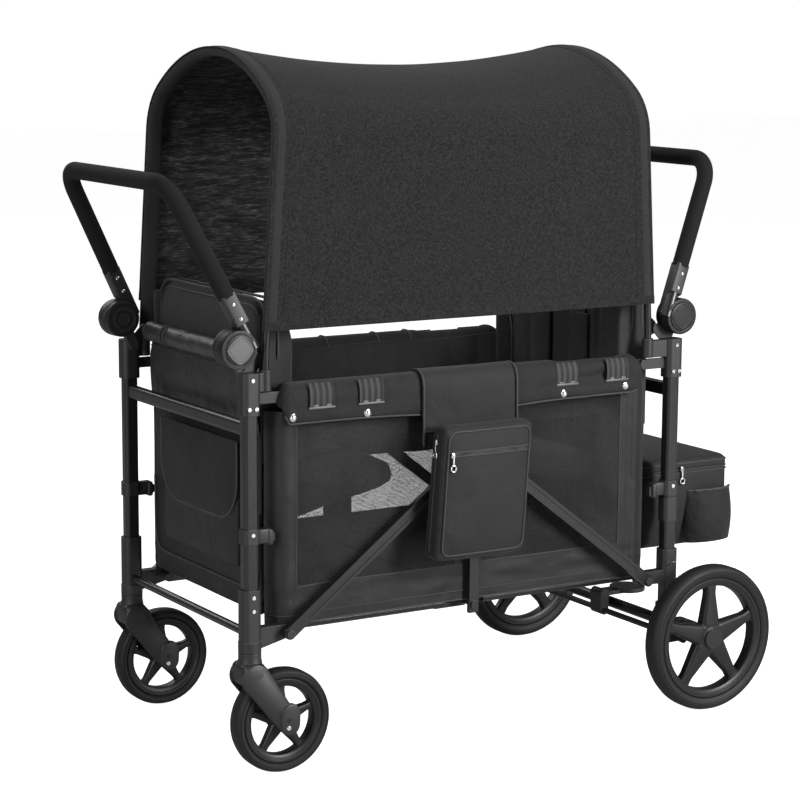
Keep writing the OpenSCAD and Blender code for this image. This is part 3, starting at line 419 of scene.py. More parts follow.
def rub_group():
    """Rounded look of hard edges, and a mask of where they are rubbed brighter."""
    tree, given, out = group("rubbed_edges", {"Radius": 0.0012, "Wear": 0.5}, ["Mask", "Normal"])
    soft = node(tree, "Bevel", settings={"samples": 4}, Radius=given["Radius"]).outputs[0]
    flat = node(tree, "NewGeometry").outputs["Normal"]
    facing = node(tree, "VectorMath", soft, flat, settings={"operation": "DOT_PRODUCT"}).outputs["Value"]
    edge = maths(tree, "MULTIPLY", maths(tree, "SUBTRACT", 1.0, facing), 5.0)
    patch = maths(tree, "MULTIPLY", edge, speckle(tree, 60.0, 4.0))
    worn = node(tree, "Clamp", maths(tree, "MULTIPLY", patch, given["Wear"]))
    feed(tree, out["Mask"], worn.outputs[0])
    feed(tree, out["Normal"], soft)
    return tree


WOVEN, CREASES, GRAIN, RUB = woven_group(), crease_group(), grain_group(), rub_group()


# Makers of materials

def grey(value, blue):
    """A grey with a trace more blue."""
    return (value, value, blue)


def blank(name, rough, metallic=0.0, specular=0.5, sheen=0.0):
    material = bpy.data.materials.new(name)
    material.use_nodes = True
    shader = material.node_tree.nodes["Principled BSDF"].inputs
    for label, value in (("Roughness", rough), ("Metallic", metallic), ("Specular IOR Level", specular),
                         ("Sheen Weight", sheen), ("Sheen Roughness", 0.6)):
        shader[label].default_value = value
    return material, material.node_tree, shader


def tinted(tree, colour, *shades):
    """The colour times each shade."""
    last = (*colour, 1)
    for tone in shades:
        settings = {"data_type": "RGBA", "blend_type": "MULTIPLY"}
        last = node(tree, "Mix", settings=settings, Factor=1.0, A=last, B=tone).outputs["Result"]
    return last


def bumped(tree, height, depth, normal=None):
    """A bump of the given depth in millimetres."""
    made = node(tree, "Bump", Strength=1.0, Distance=depth * MM, Height=height)
    if normal is not None:
        feed(tree, made.inputs["Normal"], normal)
    return made.outputs["Normal"]


def cloth(name, colour, thread=1.2, depth=0.12, crease=9.0, crease_depth=5.0, crease_shade=0.25, rough=0.85,
          specular=0.1, fleck=0.6):
    material, tree, shader = blank(name, rough, specular=specular, sheen=0.03)
    weave = effect(tree, WOVEN, Thread=thread * MM, Fleck=fleck)
    folds = effect(tree, CREASES, Scale=crease, Contrast=crease_shade)
    # The creases' Shade is painted shade in the folds' hollows and painted light on their ridges.
    feed(tree, shader["Base Color"], tinted(tree, colour, weave["Shade"], folds["Shade"]))
    rolled = bumped(tree, folds["Height"], crease_depth)
    feed(tree, shader["Normal"], bumped(tree, weave["Height"], depth, rolled))
    return material


def hard(name, colour, gloss, swing=0.15, grain=900.0, depth=0.05, metallic=0.0, specular=0.5, edge=1.2,
         wear=0.4, bright=(0.2, 0.2, 0.205)):
    material, tree, shader = blank(name, gloss, metallic, specular)
    fine = effect(tree, GRAIN, Scale=grain, Gloss=gloss, Swing=swing)
    rub = effect(tree, RUB, Radius=edge * MM, Wear=wear)
    worn = node(tree, "Mix", settings={"data_type": "RGBA"},
                Factor=rub["Mask"], A=(*colour, 1), B=(*bright, 1))
    feed(tree, shader["Base Color"], worn.outputs["Result"])
    feed(tree, shader["Roughness"], fine["Roughness"])
    feed(tree, shader["Normal"], bumped(tree, fine["Height"], depth, rub["Normal"]))
    return material


def ribbed_painted_light(name, colour, pitch, axis, depth=0.5):
    """Webbing with ribs along one direction, with painted light on the rib crests and painted shade in the
    grooves between them.
    """
    material, tree, shader = blank(name, 0.7, specular=0.3, sheen=0.05)
    along = node(tree, "SeparateXYZ", where(tree)).outputs[axis]
    wave = maths(tree, "SINE", maths(tree, "MULTIPLY", along, 2 * pi / (pitch * MM)))
    height = maths(tree, "MULTIPLY_ADD", wave, 0.5, 0.5)
    weave = effect(tree, WOVEN, Thread=0.0011, Fleck=0.3)
    # Painted light and shade: the colour is far lighter on the rib crests than in the grooves.
    tone = maths(tree, "MULTIPLY_ADD", height, 1.3, 0.25)
    feed(tree, shader["Base Color"], tinted(tree, colour, tone, weave["Shade"]))
    feed(tree, shader["Normal"], bumped(tree, height, depth))
    return material


def netting(name, colour, pitch, cover):
    """Knitted net: threads that cross at a slant, with holes between them."""
    material, tree, shader = blank(name, 0.8, specular=0.2)
    x, _, z = node(tree, "SeparateXYZ", where(tree)).outputs
    holes = []
    for slant in (0.55, -0.55):
        line = maths(tree, "MULTIPLY_ADD", x, slant, z)
        line = maths(tree, "MULTIPLY_ADD", speckle(tree, 34.0 - 9.0 * slant, 3.0), 0.003, line)
        cell = maths(tree, "PINGPONG", line, pitch * MM / 2)
        holes.append(maths(tree, "GREATER_THAN", cell, cover * pitch * MM / 2))
    feed(tree, shader["Alpha"], maths(tree, "SUBTRACT", 1.0, maths(tree, "MULTIPLY", *holes)))
    weave = effect(tree, WOVEN, Thread=0.0009, Fleck=2.0)
    # Strong painted shade in the creases' hollows and painted light on their ridges.
    folds = effect(tree, CREASES, Scale=6.0, Contrast=2.2)
    feed(tree, shader["Base Color"], tinted(tree, colour, weave["Shade"], folds["Shade"]))
    feed(tree, shader["Normal"], bumped(tree, weave["Height"], 0.2))
    return material


def streaked(name, colour):
    """Coated lining with short level streaks."""
    material, tree, shader = blank(name, 0.75, specular=0.2)
    level = node(tree, "Mapping", Vector=where(tree), Scale=(9.0, 9.0, 60.0)).outputs[0]
    height = speckle(tree, 2.4, 6.0, 0.8, level)
    fleck = maths(tree, "POWER", speckle(tree, 8.0, 4.0, 0.3, level), 4.0)
    tone = maths(tree, "MULTIPLY_ADD", maths(tree, "POWER", height, 3.0), 5.0, 0.15)
    tone = maths(tree, "MULTIPLY", tone, maths(tree, "MULTIPLY_ADD", fleck, 12.0, 0.4))
    feed(tree, shader["Base Color"], tinted(tree, colour, tone))
    feed(tree, shader["Normal"], bumped(tree, height, 1.5))
    return material


canopy_cloth = cloth("canopy_cloth", grey(0.012, 0.0124), thread=1.6, crease=4.0, crease_depth=6.0,
                     crease_shade=0.15, fleck=3.2)
canopy_lining = streaked("canopy_lining", grey(0.02, 0.0206))
binding_cloth = cloth("binding_cloth", grey(0.02, 0.0206), thread=1.4, crease=12.0, crease_depth=2.0,
                      crease_shade=0.15)
tub_cloth = cloth("tub_cloth", grey(0.0105, 0.0108), crease=10.0, crease_depth=9.0, crease_shade=0.6,
                  rough=0.54, specular=0.23)
flap_cloth = cloth("flap_cloth", grey(0.0092, 0.0095), crease=17.0, crease_depth=9.0, rough=0.7,
                   specular=0.2)
coated_cloth = cloth("coated_cloth", grey(0.013, 0.0134), thread=0.7, depth=0.05, crease=11.0,
                     crease_depth=9.0, rough=0.42, specular=0.45)
bag_cloth = cloth("bag_cloth", grey(0.0085, 0.0088), thread=1.3, crease=11.0, crease_depth=8.0,
                  crease_shade=0.4, rough=0.68, specular=0.27)
pad_cloth = cloth("pad_cloth", grey(0.027, 0.0278), crease=16.0, crease_depth=6.0, crease_shade=0.35)
piping_cloth = cloth("piping_cloth", grey(0.019, 0.0196), thread=0.8, crease=30.0, crease_depth=0.6,
                     rough=0.5, specular=0.45)
floor_board = cloth("floor_board_cloth", grey(0.01, 0.0103), crease=5.0, crease_depth=4.0)
side_net = netting("side_net", grey(0.033, 0.034), 1.2, 0.21)
loop_webbing = ribbed_painted_light("loop_webbing", grey(0.024, 0.0247), 12.5, 0, 1.6)
strap_webbing = ribbed_painted_light("strap_webbing", grey(0.014, 0.0144), 2.4, 1, 0.3)
powder_coat = hard("powder_coat", grey(0.007, 0.0072), 0.3, grain=420.0, depth=0.04, edge=1.0, wear=0.25)
moulded = hard("moulded", grey(0.009, 0.0093), 0.5, grain=1100.0, depth=0.06, edge=1.6, wear=0.3)
disc_plastic = hard("disc_plastic", grey(0.007, 0.0072), 0.46, depth=0.04, specular=0.3, wear=0.3)
plate_plastic = hard("plate_plastic", grey(0.07, 0.0721), 0.42, grain=700.0, depth=0.03, edge=0.8,
                     wear=0.3)
wheel_plastic = hard("wheel_plastic", grey(0.005, 0.0052), 0.42, grain=800.0, specular=0.34, edge=1.6,
                     wear=0.3)
tyre_rubber = hard("tyre_rubber", grey(0.0048, 0.005), 0.62, swing=0.2, grain=500.0, depth=0.12,
                   specular=0.34, edge=0.8, wear=0.15)
grip_foam = hard("grip_foam", grey(0.005, 0.0052), 0.85, swing=0.1, grain=1500.0, depth=0.25,
                 specular=0.2, edge=1.0, wear=0.0)
bright_steel = hard("bright_steel", (0.78, 0.78, 0.79), 0.2, swing=0.2, grain=200.0, depth=0.01, metallic=1.0,
                    edge=0.4, wear=0.3, bright=(0.95, 0.95, 0.95))

NODE_FINISH = {
    powder_coat: ["rear_legs", "front_legs", "rear_cross_tube", "front_cross_tube", "front_low_bar",
                  "rear_axle", "rear_floor_rails", "front_floor_rails", "rear_top_rails",
                  "front_top_rails", "rear_braces", "front_braces", "centre_posts", "front_hoop",
                  "rear_hoop", "front_push_bar", "rear_push_bar"],
    moulded: ["rear_top_brackets", "front_top_brackets", "rear_lower_brackets", "rear_clips", "rear_knuckles",
              "front_sockets", "front_clips", "brace_hubs", "brake_pedal"],
    bright_steel: ["rear_rivets", "front_rivets"],
    grip_foam: ["front_grip", "rear_grip"],
    floor_board: ["rear_floor_board", "front_floor_board"],
}
for finish, names in NODE_FINISH.items():
    for name in names:
        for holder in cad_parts[name].material_slots:
            holder.material = finish


# Canopy: one sheet over both hoops, with a bound sleeve around each hoop

ARCH_SIDE = SPRING_Z - CANOPY_LOW
ARCH_BEND = (HOOP_BEND + CANOPY_OFF) * HOOP_TURN
ARCH_LENGTH = 2 * ARCH_SIDE + 2 * ARCH_BEND + (HOOP_TOP + CANOPY_OFF) * (pi - 2 * HOOP_TURN)
HEM, HEM_STEP, HEM_LIFT = 15 / ARCH_LENGTH, 1.5 / ARCH_LENGTH, 0.9


def arch(t, off=CANOPY_OFF):
    """Side, height and upward share of the point a share t along the arch, off outside the hoop."""
    if t > 0.5:
        y, z, up = arch(1 - t, off)
        return -y, z, up
    s = t * ARCH_LENGTH
    if s < ARCH_SIDE:
        return -(LEG_Y + off), CANOPY_LOW + s, 0.0
    if s < ARCH_SIDE + ARCH_BEND:
        turn, r, y, z = (s - ARCH_SIDE) / (HOOP_BEND + CANOPY_OFF), HOOP_BEND + off, HOOP_BEND_Y, SPRING_Z
    else:
        turn, r = HOOP_TURN + (s - ARCH_SIDE - ARCH_BEND) / (HOOP_TOP + CANOPY_OFF), HOOP_TOP + off
        y, z = 0, SPRING_Z + HOOP_RISE - HOOP_TOP
    return -y - r * cos(turn), z + r * sin(turn), sin(turn)


def canopy_spot(x_share, t, lift=0.0):
    y, z, up = arch(t, CANOPY_OFF + lift)
    w = min(max((x_share - 0.02) / 0.96, 0.0), 1.0)
    z -= CANOPY_SAG * 4 * w * (1 - w) * up * up
    lean = (z - KINK_Z) * HOOP_LEAN
    front, rear = FRONT_POLE - 9 + lean, REAR_POLE + 9 - lean
    ripple = 1.6 * uneven(x_share * 7, t * 9, 3.1) * sin(pi * w)
    return at(front + x_share * (rear - front), y * (1 + ripple / 260), z + ripple * up)


def canopy_binding(name, pole, inward, body, end):
    """Sleeve sewn around a hoop: an oval that runs up one side, over the top and down the other."""
    rings = []
    for t in spread(0.0, end, 100):
        ring = []
        for turn in around(20):
            along = 15 * copysign(abs(cos(turn)) ** 0.75, cos(turn))
            y, z, _ = arch(t, 1.6 + 9.6 * copysign(abs(sin(turn)) ** 0.85, sin(turn)))
            ring.append(at(pole + inward * (6.5 + (z - KINK_Z) * HOOP_LEAN) + along, y, z))
        rings.append(ring)
    dress(shade(loft(name, rings), 50), binding_cloth, body)


hem_rows = [0, HEM_STEP, HEM, HEM + HEM_STEP]
canopy_rows = hem_rows + spread(0.03, 0.97, 84) + [1 - v for v in reversed(hem_rows)]
canopy = grid("canopy_cover", spread(0, 1, 48), canopy_rows,
              lambda u, v: canopy_spot(u, v, HEM_LIFT if min(v, 1 - v) <= HEM + 1e-9 else 0.0))
shade(thicken(canopy, 1.6, material_offset=1), 50)
dress(canopy, [canopy_cloth, canopy_lining], "canopy_rear", "canopy_sheet")
for face in canopy.data.polygons:
    away = face.center - Vector((face.center.x, 0, min(face.center.z, SPRING_Z * MM)))
    face.material_index = 0 if face.normal.dot(away) > 0 else 1
gathers(canopy)
for tag, pole, inward, end, share in (("front", FRONT_POLE, 1, 1.04, 0.045),
                                      ("rear", REAR_POLE, -1, 1.0, 0.955)):
    canopy_binding("canopy_binding_" + tag, pole, inward, "canopy_" + tag, end)
    seam = [canopy_spot(share, t, 1.0) for t in spread(0.0, 1.0, 110)]
    dress(rod("canopy_seam_" + tag, seam, 0.9, rounds=1), binding_cloth, "canopy_" + tag)


# Side bumpers: padded rolls over the top rails with a flap, ribbed loops, snaps and piping

BUMPER_FRONT, BUMPER_REAR = -407, 386
SECTION = [(26, -45), (27.5, -38), (27, -27), (26, -17), (26.5, -4), (24.5, 9), (18.5, 19), (8, 24.5),
           (-6, 24.5), (-17.5, 18.5), (-24, 7), (-25, -7), (-20, -18), (-10, -23), (2, -24), (12, -22.5),
           (18, -27), (20.5, -35), (22, -43), (24, -47)]
BUMPER_XS = ([BUMPER_FRONT, -404, -400, -394] + spread(-384, 344, 92)
             + [352, 360, 367, 373, 378, 382, 385, BUMPER_REAR])
LOOP_PATH = [(27.6, -19), (28.4, -10), (28.6, 0), (27.2, 9), (24.2, 16.5), (20, 21.5)]
REAR_LOOP_PATH = [(22.6, -19), (23.4, -10), (23.8, 0), (22.4, 8), (19.6, 14.5), (16, 18.5)]
LOOPS = [(-331, LOOP_PATH), (-229, LOOP_PATH), (203, REAR_LOOP_PATH), (321, REAR_LOOP_PATH)]
LOOP_MARKS = [0, 0.05, 0.07, 0.09, 0.2, 0.33, 0.34, 0.42, 0.43, 0.6, 0.75, 0.88, 0.9, 0.93, 1]
LOOP_WIDTH = 50
SNAPS = [(-389, 650), (-236, 646), (194, 648), (338, 652)]
SNAP_PROFILE = [(0, 4.0), (2.5, 3.8), (4.6, 3.0), (5.8, 1.6), (6.0, 0.4), (6.9, 0.2), (7.0, -1.5), (0, -1.5)]
SNAP_OUT = 27.6
FAR_SEAMS = (-40, 79, 156)


def bumper_spot(x, out, up, side):
    """A point of the bumper's section, drawn in between the rear loops and closed at the ends."""
    drawn = ramp(172, 200, x) * ramp(352, 330, x)
    if up > -22:
        out, up = out * (1 - 0.27 * drawn), up * (1 - 0.2 * drawn)
        if out > 0 and up < -8:
            out -= 6 * drawn
    elif up < -24:
        up += -10 * hump(x, -20, 130) + 9 * ramp(-396, -407, x)
    front_end = ramp(BUMPER_FRONT - 8, BUMPER_FRONT + 12, x)
    close = min(front_end, sqrt(max(0.02, 1 - max(0, (x - 352) / 35) ** 2)))
    puff = 1.8 * uneven(x * 0.02, out * 0.03, up * 0.04 + side * 5)
    puff += 2.4 * drawn * uneven(x * 0.09, out * 0.05, up * 0.05 + side)
    return by_rail(x, (out + puff - 4) * (0.4 + 0.6 * close) + 4, (up + 10) * close - 10, side)


def loop_swell(s):
    """Ribs across a loop's width."""
    return 1 + 0.03 * (1.3 if s < 0.07 or s > 0.9 else -0.4 if 0.34 < s < 0.42 else 0.6)


for side, tag in SIDES:
    bumper = loft("bumper_pad_" + tag, [[bumper_spot(x, o, u, side) for o, u in SECTION] for x in BUMPER_XS])
    dress(shade(soften(bumper), 60), flap_cloth, "rear_frame", "bumper_" + tag, fill=0.7)
    edge = [bumper_spot(x, 25.2, -47.5, side) for x in spread(-402, 366, 110)]
    trims = [bumper, dress(rod("bumper_piping_" + tag, edge, 1.9), piping_cloth)]
    loops, bars = [], []
    for x, path in LOOPS:
        loop = grid("loop", LOOP_MARKS, path, lambda s, spot: by_rail(
            x + LOOP_WIDTH * (s - 0.5), spot[0] * loop_swell(s), spot[1] * loop_swell(s), side))
        loops.append(thicken(soften(loop), 1.8))
        out, up = path[0]
        bars.append(block("bar", by_rail(x - 27, out - 1.5, up - 5, side),
                          by_rail(x + 27, out + 2.2, up - 0.5, side), 1.2))
        for shift in (-12, 14):
            bars.append(block("tick", by_rail(x + shift - 5, out - 1, up - 1, side),
                              by_rail(x + shift + 5, out + 2, up + 3, side), 0.8))
    trims.append(dress(shade(joined("bumper_loops_" + tag, loops), 40), loop_webbing))
    trims.append(dress(shade(joined("bumper_bars_" + tag, bars), 40), plate_plastic))
    if side > 0:
        rings = [rod("seam", [bumper_spot(x, o - 0.5, u + 0.5, side) for o, u in SECTION[4:14]], 2.0)
                 for x in FAR_SEAMS]
        trims.append(dress(joined("bumper_seams_far", rings), piping_cloth))
    snaps = [turned("snap", SNAP_PROFILE, at(x, side * (RAIL_Y + SNAP_OUT), z), (0, side, 0), 28)
             for x, z in SNAPS]
    trims.append(dress(joined("bumper_snaps_" + tag, snaps), bright_steel))
    for piece in trims:
        gathers(piece)


# Quilted linings that hang inside the bumpers, longer on the far side

LINING_TOP, LINING_LOW, CHANNEL_WIDTH = 694, {-1: 592, 1: 462}, 63


def lining_spot(x, t, side):
    low = LINING_LOW[side]
    z = low + t * (LINING_TOP - low) + 2 * sin(x * 0.021)
    channel = 4 * abs(sin(pi * x / CHANNEL_WIDTH)) ** 0.6 * ramp(low + 2, low + 20, z)
    return at(x, side * (222 - 5 * ramp(690, 600, z) - channel), z)


for side, tag in SIDES:
    lining = grid("bumper_lining_" + tag, spread(-384, 372, 126), spread(0, 1, 24),
                  lambda x, t: lining_spot(x, t, side), 5)
    gathers(dress(shade(lining, 60), pad_cloth, fill=0.4))


# Tub sides: net window in a cloth surround, with bindings

SIDE_FRONT, SIDE_REAR, SIDE_TOP = -424, 405, 658
WINDOW_FRONT, WINDOW_REAR, WINDOW_LOW = -370, 342, 338
STRIP_FRONT, STRIP_REAR = -33, 31
WINDOW_SHARE = (WINDOW_LOW - 268) / (SIDE_TOP - 268)
TUCKS = (-34, -20, 18, 30)


def side_spot(x, share, side, proud=0.0):
    """A point of a side cloth, which turns in at the corners and hangs in folds below the window."""
    low = 266 + 3 * ramp(-372, -300, x) - 4 * ramp(250, 390, x)
    z = low + share * (SIDE_TOP - low)
    bend = 25 * ramp(-396, -424, x) + 8 * ramp(384, 405, x)
    pleat = 1.8 * sin(x * 0.16) * ramp(-362, -385, x) + 1.6 * sin(x * 0.22) * ramp(350, 368, x)
    tuck = 2.2 * sum(hump(x, middle, 5) for middle in TUCKS) * ramp(345, 325, z)
    belly = 2.5 * uneven(x * 0.008, z * 0.009, side * 2.0)
    fold = 2.6 * uneven(x * 0.011, z * 0.055, side * 4.0) * ramp(352, 330, z) * ramp(270, 284, z)
    return at(x, side * (SIDE_Y - bend + pleat + tuck + belly + fold + proud), z)


def is_net(face):
    x, _, z = spot_of(face.center)
    return WINDOW_FRONT < x < WINDOW_REAR and z > WINDOW_LOW and not STRIP_FRONT < x < STRIP_REAR


side_columns = (spread(SIDE_FRONT, WINDOW_FRONT, 12) + spread(WINDOW_FRONT, STRIP_FRONT, 44)[1:]
                + spread(STRIP_FRONT, STRIP_REAR, 10)[1:] + spread(STRIP_REAR, WINDOW_REAR, 40)[1:]
                + spread(WINDOW_REAR, SIDE_REAR, 14)[1:])
side_rows = [0, 0.012, 0.03] + spread(0.05, WINDOW_SHARE, 8) + spread(WINDOW_SHARE, 1, 34)[1:]
for side, tag in SIDES:
    panel = grid("side_cloth_" + tag, side_columns, side_rows, lambda x, s: side_spot(x, s, side))
    panel.data.materials.append(tub_cloth)
    panel.data.materials.append(side_net)
    for face in panel.data.polygons:
        face.material_index = 1 if is_net(face) else 0
    shade(thicken(panel, 1.1), 60)
    indices = [face.material_index for face in panel.data.polygons]
    dress(panel, [tub_cloth, side_net], "rear_frame", "side_panel_" + tag)
    for face, index in zip(panel.data.polygons, indices):
        face.material_index = index
    gathers(panel)
    trims = [rod("hem", [side_spot(x, share, side, 1.2) for x in spread(-418, 402, 120)], radius)
             for share, radius in ((0.006, 1.5), (0.05, 0.9))]
    uprights = spread(WINDOW_SHARE, 0.98, 20)
    around_window = ([(WINDOW_FRONT, s) for s in spread(0.98, WINDOW_SHARE, 20)][:-1]
                     + [(x, WINDOW_SHARE) for x in spread(WINDOW_FRONT, WINDOW_REAR, 80)]
                     + [(WINDOW_REAR, s) for s in uprights])
    for line in [around_window] + [[(x, s) for s in uprights] for x in (STRIP_FRONT, STRIP_REAR)]:
        trims.append(rod("frame", [side_spot(x, s, side, 0.8) for x, s in line], 1.3))
    gathers(dress(joined("side_trim_" + tag, trims), piping_cloth))


# Pocket bag on the near side, with its hanger over the bumper

BAG_FACE = -332
HANGER_FRONT, HANGER_REAR = -120, 84
HANGER_SECTION = [(30.5, -110), (30.2, -92), (30.0, -70), (29.6, -45), (29.4, -20), (29.2, -5), (27, 10),
                  (20.5, 22), (9, 27.6), (-6, 27.6), (-19, 21), (-26, 8)]


def bag_lean(p):
    """The bag hangs a little out of square: its foot swings forward."""
    return Vector((p.x - 0.08 * (612 - p.z / MM) * MM + MM, p.y, p.z))


def bag_bulge(x, z):
    """How far the bag's front swells."""
    v = (z - 494) / 117
    return 9 * dome((x + 12) / 98) * dome(v) + 3.0 * ramp(0.4, -0.9, v)


def pocket_shape(p):
    x, y, z = spot_of(p)
    p.y -= bag_bulge(x, z) * ramp(-300, -325, y) * MM
    p.z -= 4 * (1 - ((x + 12) / 98) ** 2) * ramp(420, 385, z) * MM
    return bag_lean(p)


def pocket_front(x, z, proud=0.6):
    """A point on the bag's front face."""
    return bag_lean(at(x, BAG_FACE - bag_bulge(x, z) - proud, z))


def outline(left, right, low, high, radius, place, steps=6):
    """Rounded rectangle of points laid on a surface by a function of x and z."""
    corners = [(right - radius, high - radius, 90, 0), (right - radius, low + radius, 0, -90),
               (left + radius, low + radius, -90, -180), (left + radius, high - radius, 180, 90)]
    flat = []
    for cx, cz, start, end in corners:
        flat += [(cx + radius * cos(radians(a)), cz + radius * sin(radians(a)))
                 for a in spread(start, end, steps)]
    dense = []
    for (ax, az), (bx, bz) in zip(flat, flat[1:] + flat[:1]):
        count = max(1, int(hypot(bx - ax, bz - az) / 12))
        dense += [(ax + (bx - ax) * i / count, az + (bz - az) * i / count) for i in range(count)]
    return [place(x, z) for x, z in dense]


def zip_pull(name, spot, face):
    """Slider, neck and ring of a zip, hanging on a face whose outward direction is given."""
    way = Vector(face)
    level = Vector((-way.y, way.x, 0)).normalized()

    def place(across, out, up):
        return spot + (level * across + way * out + Vector((0, 0, up))) * MM

    parts = []
    for a, b, edge in (((-4, 0, -5), (4, 4, 5), 1.5), ((-1.6, 3, -19), (1.6, 5, 2), 0.7)):
        low, high = place(*a), place(*b)
        parts.append(block("bit", Vector(map(min, low, high)), Vector(map(max, low, high)), edge))
    ring = [place(5.2 * cos(a), 4, -24 + 5.8 * sin(a)) for a in around(24)]
    parts.append(rod("ring", ring, 1.5, closed=True))
    return dress(shade(joined(name, parts), 40), bright_steel)


pocket = soft_box("pocket_body", at(-110, BAG_FACE, 371), at(86, -285, 616), 13, 5, pocket_shape)
dress(pocket, bag_cloth, "rear_frame", "pocket_bag", fill=0.5)
zip_xs = spread(-98, 74, 24)
pocket_lines = [rod("front_piping", outline(-100, 76, 380, 607, 16, pocket_front), 1.7, closed=True),
                rod("zip_upper", [pocket_front(x, 571) for x in zip_xs], 1.5),
                rod("zip_lower", [pocket_front(x, 563) for x in zip_xs], 1.5),
                rod("gusset_zip", [bag_lean(at(-110.5, -309, z)) for z in spread(386, 602, 20)], 1.5)]
pocket_lines = dress(joined("pocket_piping", pocket_lines), piping_cloth)
zip_teeth = grid("pocket_zip", spread(-96, 72, 40), [564, 567, 570],
                 lambda x, z: pocket_front(x, z, 0.3), 1.0)
dress(zip_teeth, strap_webbing)
hanger = grid("pocket_hanger", spread(HANGER_FRONT, HANGER_REAR, 24), HANGER_SECTION,
              lambda x, s: by_rail(x, s[0] + 1.5 * cos(x * 0.03), s[1], -1))
dress(shade(thicken(soften(hanger), 2.4), 60), bag_cloth)
hanger_edges = [rod("edge", rounded_path([by_rail(x, o + 2.2, u, -1) for o, u in HANGER_SECTION], 5), 2.2)
                for x in (HANGER_FRONT, HANGER_REAR)]
lip = [by_rail(x, 32.5, -84, -1) for x in spread(HANGER_FRONT + 2, HANGER_REAR - 2, 10)]
hanger_edges.append(rod("lip", lip, 1.2))
hanger_edges = dress(joined("hanger_piping", hanger_edges), piping_cloth)
front_pull = zip_pull("pocket_pull_front", pocket_front(-92, 566, 1.0), (0, -1, 0))
side_pull = zip_pull("pocket_pull_side", bag_lean(at(-111, -309, 588)), (-1, 0, 0))
for piece in (pocket, pocket_lines, zip_teeth, hanger, hanger_edges, front_pull, side_pull):
    gathers(piece)


# End panels, their rolls, the front flap pocket and the tub's lower edges

ROLL_X, ROLL_Z, ROLL_R, ROLL_STRAPS = 439, 752, 18.6, (-122, 122)
FLAP_LOW, FLAP_TOP = 616, 735
POCKET_FLAP_LOW, POCKET_FLAP_HALF = 443, 156


def end_cloth(side, tag, body):
    """End panel; below the bumpers the rear one turns at its corners to meet the side cloths."""
    half, corner = (219, 0) if side < 0 else (206, 34)

    def spot(share, z):
        y = share * (half + corner * ramp(640, 600, z))
        wave = 2.5 * uneven(y * 0.01, z * 0.012, side * 3.0) + 3 * (1 - (y / 229) ** 2) * ramp(310, 480, z)
        return at(side * (PANEL_X + wave * 0.5 - 19 * ramp(half, half + 34, abs(y))), y, z)

    panel = shade(grid("end_cloth_" + tag, spread(-1, 1, 44), spread(286, 742, 43), spot, 2.0), 60)
    dress(panel, tub_cloth, body, tag + "_end_panel")


def end_roll(side, tag, body):
    """Padded roll along the top of an end, drawn in by two straps."""
    def on_roll(a, y, r, flat=1.0):
        return at(side * (ROLL_X + flat * r * cos(a)), y, ROLL_Z + r * sin(a))

    rings = []
    for y in spread(-219, 219, 70):
        pinch = sum(hump(y, strap, 9) for strap in ROLL_STRAPS)
        puff = 0.8 * uneven(y * 0.03, side * 7, 0)
        close = sqrt(max(0.05, 1 - max(0, (abs(y) - 204) / 16) ** 2))
        ring = []
        for a in around(22):
            crumple = 1.6 * uneven(y * 0.045, 1.3 * cos(a), 1.3 * sin(a) + side)
            ring.append(on_roll(a, y, (ROLL_R + puff + crumple - 2.2 * pinch) * close, 0.98))
        rings.append(ring)
    dress(shade(loft("end_roll_" + tag, rings), 60), coated_cloth, body, fill=0.7)
    bands = []
    for middle in (strap + shift for strap in ROLL_STRAPS for shift in (-8, 8)):
        edges = ((-5, 16.0), (-5, 19.4), (5, 19.4), (5, 16.0))
        bands.append(loft("band", [[on_roll(a, middle + y, r) for a in around(24)] for y, r in edges]))
    dress(shade(joined("end_bands_" + tag, bands), 40), strap_webbing, body)


def end_flap_spot(y, z, side):
    """A point of the flap that hangs from an end's roll."""
    bow = 5 * sin(pi * (z - FLAP_LOW) / (FLAP_TOP - FLAP_LOW))
    return at(side * (429 + bow + 2 * uneven(y * 0.012, z * 0.03, side)), y, z)


def gusset_spot(y, t, side):
    """A point of the cloth that turns from an end panel under to the floor board."""
    turn = t * pi / 2
    return at(side * (PANEL_X - 54 * sin(turn) ** 1.4), y, 288 - 20 * (1 - cos(turn)) ** 0.9)


for side, tag in ENDS:
    body = tag + "_frame"
    end_roll(side, tag, body)
    end_cloth(side, tag, body)
    wide = 217 if side < 0 else 204
    flap = grid("end_flap_" + tag, spread(-wide, wide, 36), spread(FLAP_LOW, FLAP_TOP, 14),
                lambda y, z: end_flap_spot(y, z, side), 2.4)
    dress(shade(flap, 60), coated_cloth, body)
    low_line = rounded_path([at(side * 428, y, z) for y, z in (
        (wide - 2, 470), (wide - 6, 325), (6 - wide, 325), (2 - wide, 470))], 40)
    edge = [at(side * 431.5, y, 734 + 1.2 * sin(y * 0.08)) for y in spread(-wide, wide, 60)]
    stitch = [at(side * 433, y, 724) for y in spread(-wide, wide, 40)]
    lines = [rod("flap_edge", edge, 2.2), rod("flap_stitch", stitch, 0.8), rod("low_edge", low_line, 2.2)]
    dress(joined("end_piping_" + tag, lines), piping_cloth, body)
    gusset = grid("floor_gusset_" + tag, spread(-wide, wide, 30), spread(0, 1, 12),
                  lambda y, t: gusset_spot(y, t, side), 1.8)
    gusset.data.materials.append(tub_cloth)
    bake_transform(shade(gusset, 60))


def flap_spot(share, z, proud=0.0):
    """A point of the front pocket's flap, whose lower corners are rounded."""
    half = POCKET_FLAP_HALF - 74 * (1 - sqrt(max(0, 1 - (max(0, 520 - z) / 77) ** 2)))
    swell = 9 * (1 - share ** 4) * sin(pi * min(1, (z - POCKET_FLAP_LOW) / 150 * 0.8 + 0.1))
    return at(-(440 + swell + proud), share * half, z)


def front_pocket_shape(p):
    if p.x < at(-430, 0, 0).x:
        p.x -= 7 * MM * dome(p.y / 0.15) * dome((p.z - 0.44) / 0.12)
    return p


